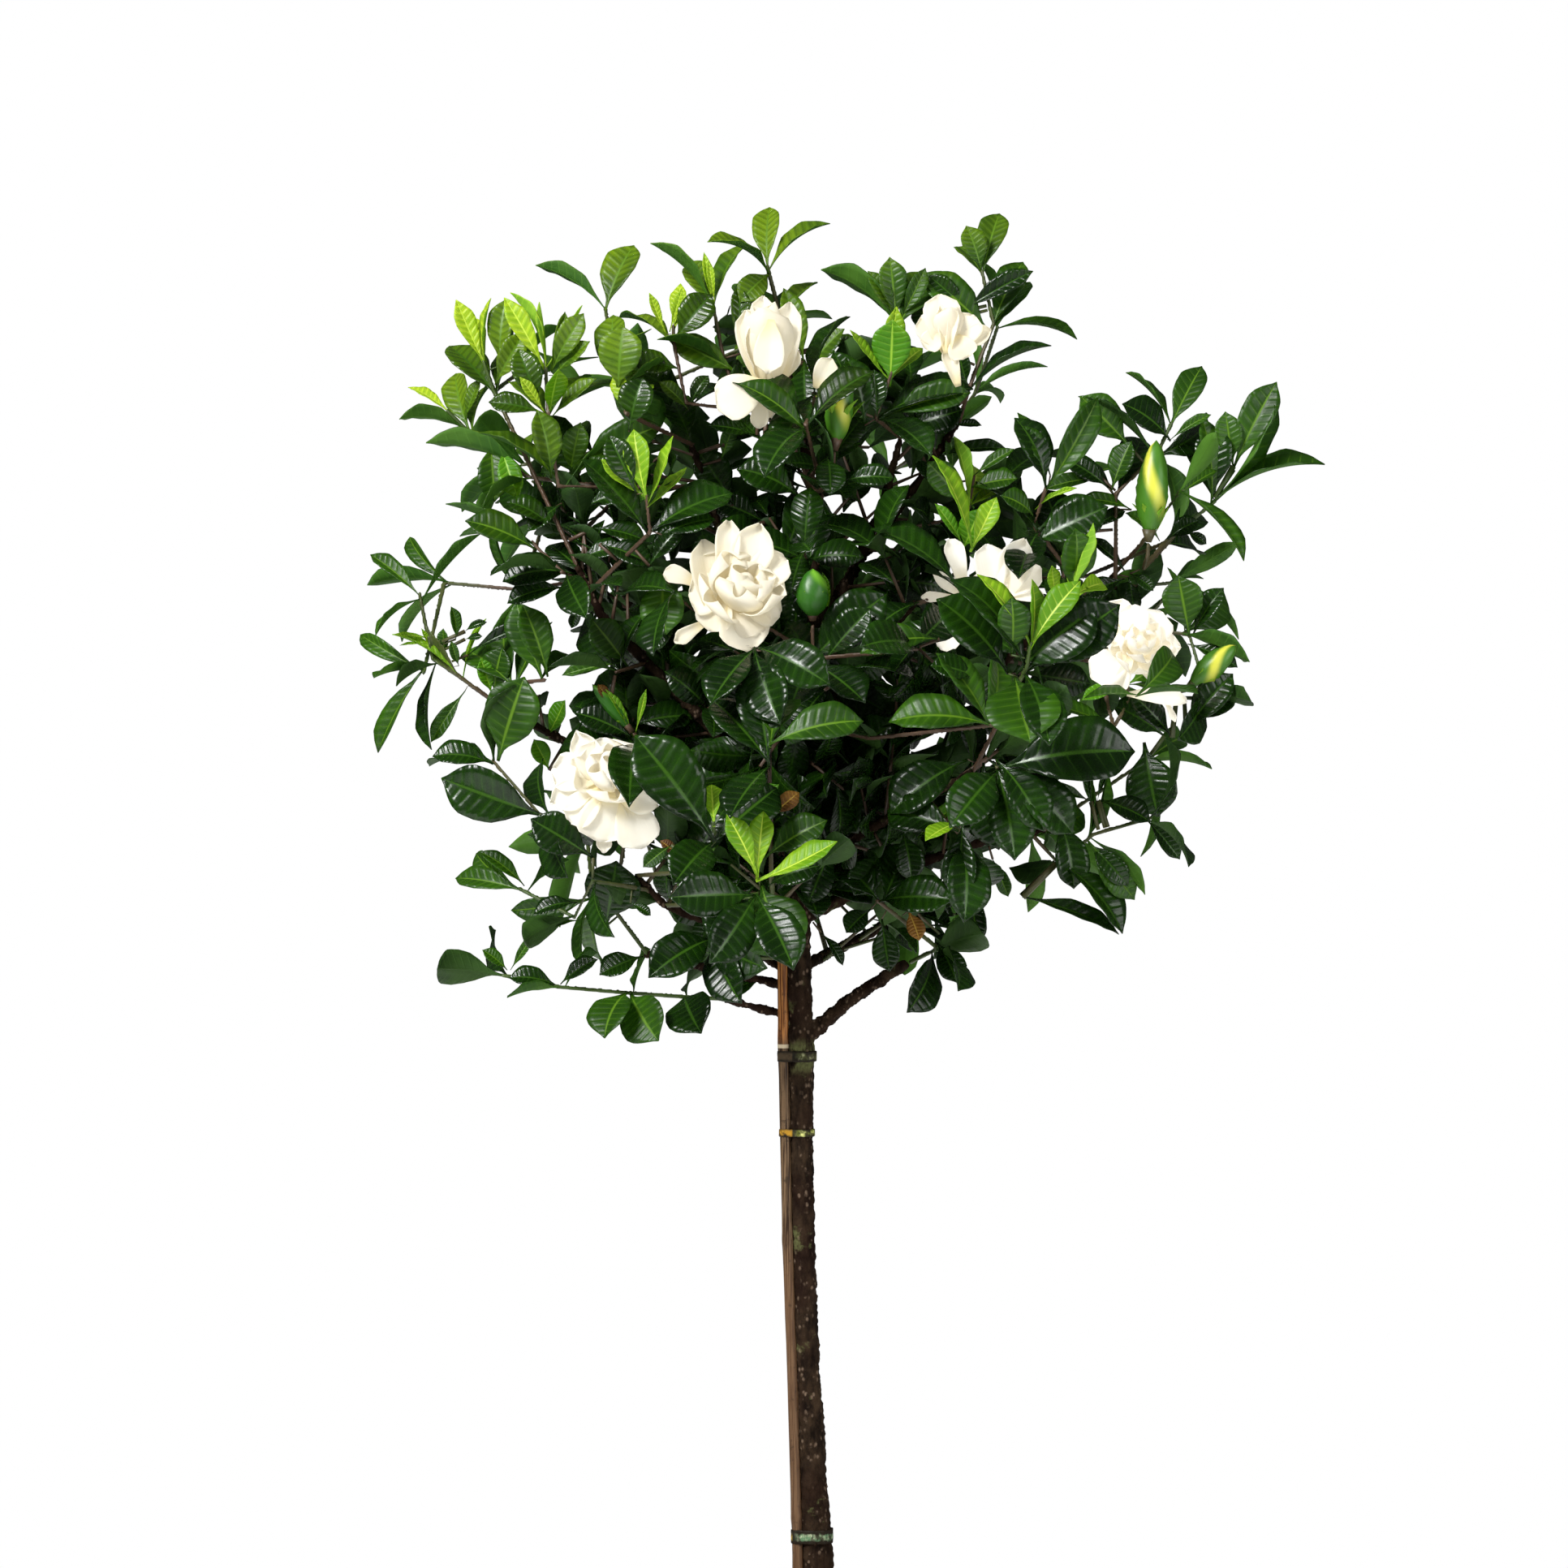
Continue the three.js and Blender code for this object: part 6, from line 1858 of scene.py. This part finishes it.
trunk = copy_of("trunk", "woody_trunk")
apply_modifier(trunk, "REMESH", mode="VOXEL", voxel_size=1.5 * MM)
apply_modifier(trunk, "SMOOTH", factor=0.5, iterations=5)
apply_modifier(trunk, "DISPLACE", strength=BARK_THICKNESS, mid_level=0.0)
shape_all(trunk, bpy.ops.transform.translate, value=TRUNK_SHIFT)
roughen(trunk, *KNOBS)
roughen(trunk, *CRACKS)
paint(trunk, bark)
dress(trunk, "bark", "trunk")
print("trunk faces:", len(trunk.data.polygons))

# %% [markdown]
# ## Cane and ties
#
# A bamboo cane props the trunk. It is smooth, with a ring at each knot, weathered to grey-brown low down and
# still red-brown in the crown's shade. Three flat ties of different age hold trunk and cane together: the
# band is softened at its edges, creased as tape that has been pulled tight, and drawn in a little so that it
# lies close. Each is of one tone over the cane and of another over the trunk, with painted shade where it
# dips between them.

# %% Cane
CANE_THICKNESS = 0.7 * MM
CANE_RING = 0.6545


def cane_finish():
    """Weathered bamboo with streaks along it."""
    finish = Finish("bamboo")
    place = finish.object_place()
    streaks = finish.noise(finish.stretched(place, (1.0, 1.0, 0.03)), 900.0, 4.0, 0.6)
    spots = finish.noise(place, 220.0, 4.0, 0.65)
    height = finish.axis(place, "Z")
    grain = finish.ramp(streaks, 0.4, 0.6)
    grey = finish.mix(grain, rgb(0.022, 0.01, 0.004), rgb(0.15, 0.092, 0.048))
    red = finish.mix(grain, rgb(0.1, 0.03, 0.007), rgb(0.4, 0.165, 0.045))
    wood = finish.mix(finish.ramp(height, 0.652, 0.664), grey, red)
    warm = finish.mix(finish.ramp(height, 0.545, 0.5, 0.0, 0.5), wood, rgb(0.13, 0.065, 0.03))
    colour = finish.mix(finish.ramp(spots, 0.56, 0.72, 0.0, 0.75), warm, rgb(0.02, 0.013, 0.007))
    normal = finish.bump(streaks, 0.4, 0.0004)
    ring = finish.ramp(finish.from_middle(height, CANE_RING), 0.0008, 0.0016, 0.9, 0.0)
    ringed = finish.mix(ring, colour, rgb(0.6, 0.5, 0.34))
    return finish.close(finish.skin(ringed, 0.48, normal, 0.2))


cane = copy_of("cane", "bamboo_cane")
apply_modifier(cane, "SUBSURF", levels=2, render_levels=2)
apply_modifier(cane, "DISPLACE", strength=CANE_THICKNESS, mid_level=0.0)
roughen(cane, 9 * MM, 0.5 * MM)
paint(cane, cane_finish())
dress(cane, "cane", "cane")
print("cane faces:", len(cane.data.polygons))

# %% Tie finish
TIE_SPLIT = -0.0125


def tie_finish(name, middle, on_cane, on_trunk, worn):
    """Creased tape, stained by the bark, worn light on its high spots, of another tone over the cane, and
    with painted shade where it dips between cane and trunk.
    """
    finish = Finish(name)
    place = finish.object_place()
    crease = finish.noise(finish.stretched(place, (1.0, 1.0, 0.6)), 300.0, 4.0, 0.6)
    dirt = finish.noise(place, 210.0, 4.0)
    axes = finish.add("SeparateXYZ", {"Vector": place}).outputs
    over_cane = finish.ramp(axes["X"], TIE_SPLIT - 0.0006, TIE_SPLIT + 0.0006, 1.0, 0.0)
    # Painted shade: the tape turns almost black just beside the cane, where it dips between cane and trunk.
    painted_shade = finish.ramp(axes["X"], TIE_SPLIT + 0.001, TIE_SPLIT + 0.006, 0.95, 0.0)
    off_middle = finish.from_middle(axes["Z"], middle)
    edge = finish.ramp(finish.sum("MULTIPLY_ADD", dirt, 0.004, off_middle), 0.0028, 0.0048)
    tape = finish.mix(finish.ramp(crease, 0.45, 0.65), on_trunk, worn)
    tape = finish.mix(finish.ramp(dirt, 0.46, 0.6, 0.0, 0.85), tape, rgb(0.02, 0.014, 0.006))
    on_bark = finish.mix(painted_shade, tape, rgb(0.008, 0.005, 0.002))
    on_wood = finish.mix(finish.ramp(dirt, 0.5, 0.66), on_cane, rgb(0.03, 0.018, 0.006))
    colour = finish.mix(edge, finish.mix(over_cane, on_bark, on_wood), rgb(0.012, 0.008, 0.003))
    normal = finish.bump(crease, 0.7, 0.0008)
    return finish.close(finish.skin(colour, 0.55, normal, 0.2))


# %% Three ties
TIE_SHRINK = 0.95
TIES = {
    "tie_crown_foot": (
        "tie_grey_green", rgb(0.06, 0.04, 0.02), rgb(0.06, 0.065, 0.02), rgb(0.28, 0.29, 0.15),
    ),
    "tie_upper": (
        "tie_yellow_green", rgb(0.38, 0.2, 0.015), rgb(0.14, 0.16, 0.012), rgb(0.6, 0.62, 0.2),
    ),
    "tie_low": ("tie_pale", rgb(0.34, 0.22, 0.03), rgb(0.1, 0.2, 0.1), rgb(0.5, 0.56, 0.36)),
}
for node, (slot, on_cane, on_trunk, worn) in TIES.items():
    tie = copy_of(node, node.replace("tie_", "tape_"))
    apply_modifier(tie, "BEVEL", width=0.4 * MM, segments=2, limit_method="ANGLE", angle_limit=1.0)
    apply_modifier(tie, "REMESH", mode="VOXEL", voxel_size=0.45 * MM)
    apply_modifier(tie, "SMOOTH", factor=0.5, iterations=3)
    roughen(tie, 3 * MM, 0.6 * MM)
    heights = [corner.co.z for corner in tie.data.vertices]
    paint(tie, tie_finish(slot + "_tape", (min(heights) + max(heights)) / 2, on_cane, on_trunk, worn))
    centre = middle_of([Vector(corner) for corner in tie.bound_box])
    shape_all(tie, bpy.ops.transform.resize, value=(TIE_SHRINK, TIE_SHRINK, 1), center_override=centre)
    dress(tie, slot, node)
print("ties:", len(TIES))

# %% [markdown]
# ## Pot and potting mix
#
# The photo ends above the pot, so it is finished plainly: a round clay pot with a thick rim and drainage
# holes. It is drawn up from a circle, ring by ring, as on a wheel. Clay fires unevenly and takes up lime
# from the water, so its colour clouds and pales in places. The potting mix is crumbly, with bits of bark
# lying on it.

# %% Clay finish
def clay_finish():
    """Unglazed clay with lime bloom and fine pits."""
    finish = Finish("terracotta")
    place = finish.object_place()
    cloud = finish.noise(place, 7.0, 5.0, 0.6)
    fine = finish.noise(place, 420.0, 4.0, 0.6)
    rings = finish.noise(finish.stretched(place, (0.05, 0.05, 1.0)), 260.0, 2.0)
    clay = finish.mix(finish.ramp(cloud, 0.35, 0.68), rgb(0.42, 0.155, 0.075), rgb(0.56, 0.25, 0.135))
    clay = finish.mix(finish.ramp(fine, 0.45, 0.75, 0.0, 0.4), clay, rgb(0.3, 0.105, 0.055))
    lime = finish.ramp(finish.noise(place, 15.0, 6.0, 0.7), 0.54, 0.7, 0.0, 0.45)
    colour = finish.mix(lime, clay, rgb(0.66, 0.5, 0.4))
    height = finish.sum("ADD", finish.sum("MULTIPLY", fine, 0.5), rings)
    normal = finish.bump(height, 0.35, 0.0008)
    return finish.close(finish.skin(colour, 0.88, normal))


clay = clay_finish()

# %% Clay pot
POT_PROFILE = [
    (97, 0), (99.2, 0.8), (100, 3), (136.3, 237.5), (137.4, 238), (146, 238), (148.6, 239), (149.4, 241),
    (150, 276), (149.2, 278.8), (147, 280), (137.6, 280), (135.2, 279.2), (134, 277), (92.8, 13.5), (91, 12),
]
POT_SIDES = 96
LEVEL = 0.001 * MM
ROUND = 0.02 * MM
drop_selection()
first_radius, first_height = POT_PROFILE[0]
bpy.ops.mesh.primitive_circle_add(
    vertices=POT_SIDES, radius=first_radius * MM, location=(0, 0, first_height * MM), fill_type="NGON"
)
pot = bpy.context.object
pot.name = "clay_pot"
bpy.ops.object.mode_set(mode="EDIT")
bpy.ops.mesh.flip_normals()
bpy.ops.mesh.select_mode(type="EDGE")
for (radius, height), (next_radius, next_height) in zip(POT_PROFILE, POT_PROFILE[1:]):
    bpy.ops.mesh.select_all(action="DESELECT")
    mesh = bmesh.from_edit_mesh(pot.data)
    for edge in mesh.edges:
        level = all(abs(vert.co.z - height * MM) < LEVEL for vert in edge.verts)
        in_ring = all(abs(vert.co.xy.length - radius * MM) < ROUND for vert in edge.verts)
        edge.select_set(level and in_ring)
    bmesh.update_edit_mesh(pot.data)
    bpy.ops.mesh.extrude_edges_move()
    grow = next_radius / radius
    bpy.ops.transform.resize(value=(grow, grow, 1), center_override=(0, 0, height * MM))
    bpy.ops.transform.translate(value=(0, 0, (next_height - height) * MM))
bpy.ops.mesh.edge_face_add()
bpy.ops.mesh.select_all(action="SELECT")
bpy.ops.mesh.normals_make_consistent(inside=False)
bpy.ops.object.mode_set(mode="OBJECT")
print("pot faces:", len(pot.data.polygons))

# %% Drainage holes
HOLES = 4
HOLE_RADIUS = 7 * MM
HOLES_FROM_MIDDLE = 46 * MM
CREASE = math.radians(40)
for i in range(HOLES):
    angle = (i + 0.5) * 2 * math.pi / HOLES
    hole = (HOLES_FROM_MIDDLE * math.cos(angle), HOLES_FROM_MIDDLE * math.sin(angle), 6 * MM)
    drop_selection()
    bpy.ops.mesh.primitive_cylinder_add(vertices=24, radius=HOLE_RADIUS, depth=30 * MM, location=hole)
    drill = bpy.context.object
    apply_modifier(pot, "BOOLEAN", operation="DIFFERENCE", object=drill, solver="EXACT")
    bpy.data.objects.remove(drill)
pot.data.materials.append(clay)
hold(pot)
bpy.ops.object.shade_smooth_by_angle(angle=CREASE)
dress(pot, "terracotta", "pot")
print("drainage holes:", HOLES)

# %% Finishes of the potting mix
def soil_finish():
    """Dark crumbly mix."""
    finish = Finish("potting_mix")
    place = finish.object_place()
    crumb = finish.noise(place, 320.0, 6.0, 0.7)
    clump = finish.noise(place, 60.0, 4.0)
    earth = finish.mix(finish.ramp(crumb, 0.35, 0.7), rgb(0.012, 0.008, 0.006), rgb(0.085, 0.052, 0.034))
    colour = finish.mix(finish.ramp(clump, 0.45, 0.7, 0.0, 0.5), earth, rgb(0.11, 0.068, 0.042))
    normal = finish.bump(crumb, 1.0, 0.002)
    return finish.close(finish.skin(colour, 0.95, normal))


def chip_finish():
    """Pine bark chips, red-brown and fibrous."""
    finish = Finish("bark_chips")
    place = finish.object_place()
    fibre = finish.noise(finish.stretched(place, (1.0, 3.0, 1.0)), 260.0, 5.0, 0.65)
    colour = finish.mix(finish.ramp(fibre, 0.35, 0.7), rgb(0.05, 0.024, 0.014), rgb(0.21, 0.11, 0.06))
    normal = finish.bump(fibre, 0.8, 0.001)
    return finish.close(finish.skin(colour, 0.85, normal))


mix_skin = soil_finish()
chip_skin = chip_finish()

# %% Potting mix
SOIL_SKIN_FROM = 258 * MM
CHIPS = 230
CHIP_REACH = 126
CHIP_SIZES = ((7, 17), (4, 10), (1.8, 4))
CHIP_LEVELS = (262, 265.5)
CHIP_TILT = 0.4
soil = copy_of("soil", "potting_mix")
apply_modifier(soil, "REMESH", mode="VOXEL", voxel_size=3 * MM)
apply_modifier(soil, "SMOOTH", factor=0.5, iterations=2)
soil_top = soil.vertex_groups.new(name="top")
soil_top.add([vert.index for vert in soil.data.vertices if vert.co.z > SOIL_SKIN_FROM], 1.0, "REPLACE")
roughen(soil, 9 * MM, 6 * MM, depth=4, vertex_group="top")
paint(soil, mix_skin)
soil_parts = [soil]
drop_selection()
bpy.ops.mesh.primitive_cube_add(size=1)
chip = bpy.context.object
shape_all(chip, bpy.ops.mesh.subdivide, number_cuts=1, smoothness=0.6, fractal=0.7, seed=4)
chip.data.materials.append(chip_skin)
templates.append(chip)
for _ in range(CHIPS):
    angle = random.uniform(0, 2 * math.pi)
    reach = CHIP_REACH * math.sqrt(random.uniform(0.02, 1))
    piece = twin(chip)
    height = random.uniform(*CHIP_LEVELS)
    piece.location = (reach * math.cos(angle) * MM, reach * math.sin(angle) * MM, height * MM)
    tilts = [random.uniform(-CHIP_TILT, CHIP_TILT) for _ in range(2)]
    piece.rotation_euler = (*tilts, random.uniform(0, FULL_TURN))
    piece.scale = [random.uniform(*sizes) * MM for sizes in CHIP_SIZES]
    soil_parts.append(piece)
soil = join("potting_mix", soil_parts)
dress(soil, "soil", "soil")
print("potting mix faces:", len(soil.data.polygons))

# %% [markdown]
# ## Floor and clearing up
#
# The templates have done their work and are removed. The pale floor lies just under the pot's foot, and is
# small enough to stay below the camera's view.

# %% Floor and clearing up
FLOOR_RADIUS = 1.85
FLOOR_HEIGHT = -0.5 * MM
for template in templates:
    bpy.data.objects.remove(template)
drop_selection()
bpy.ops.mesh.primitive_circle_add(
    vertices=96, radius=FLOOR_RADIUS, location=(0, 0, FLOOR_HEIGHT), fill_type="NGON"
)
floor = bpy.context.object
floor.name = "floor"
floor_finish = Finish("floor")
floor_surface = floor_finish.add("BsdfPrincipled", {"Base Color": rgb(0.8, 0.8, 0.79), "Roughness": 0.9})
floor.data.materials.append(floor_finish.close(floor_surface.outputs[0]))
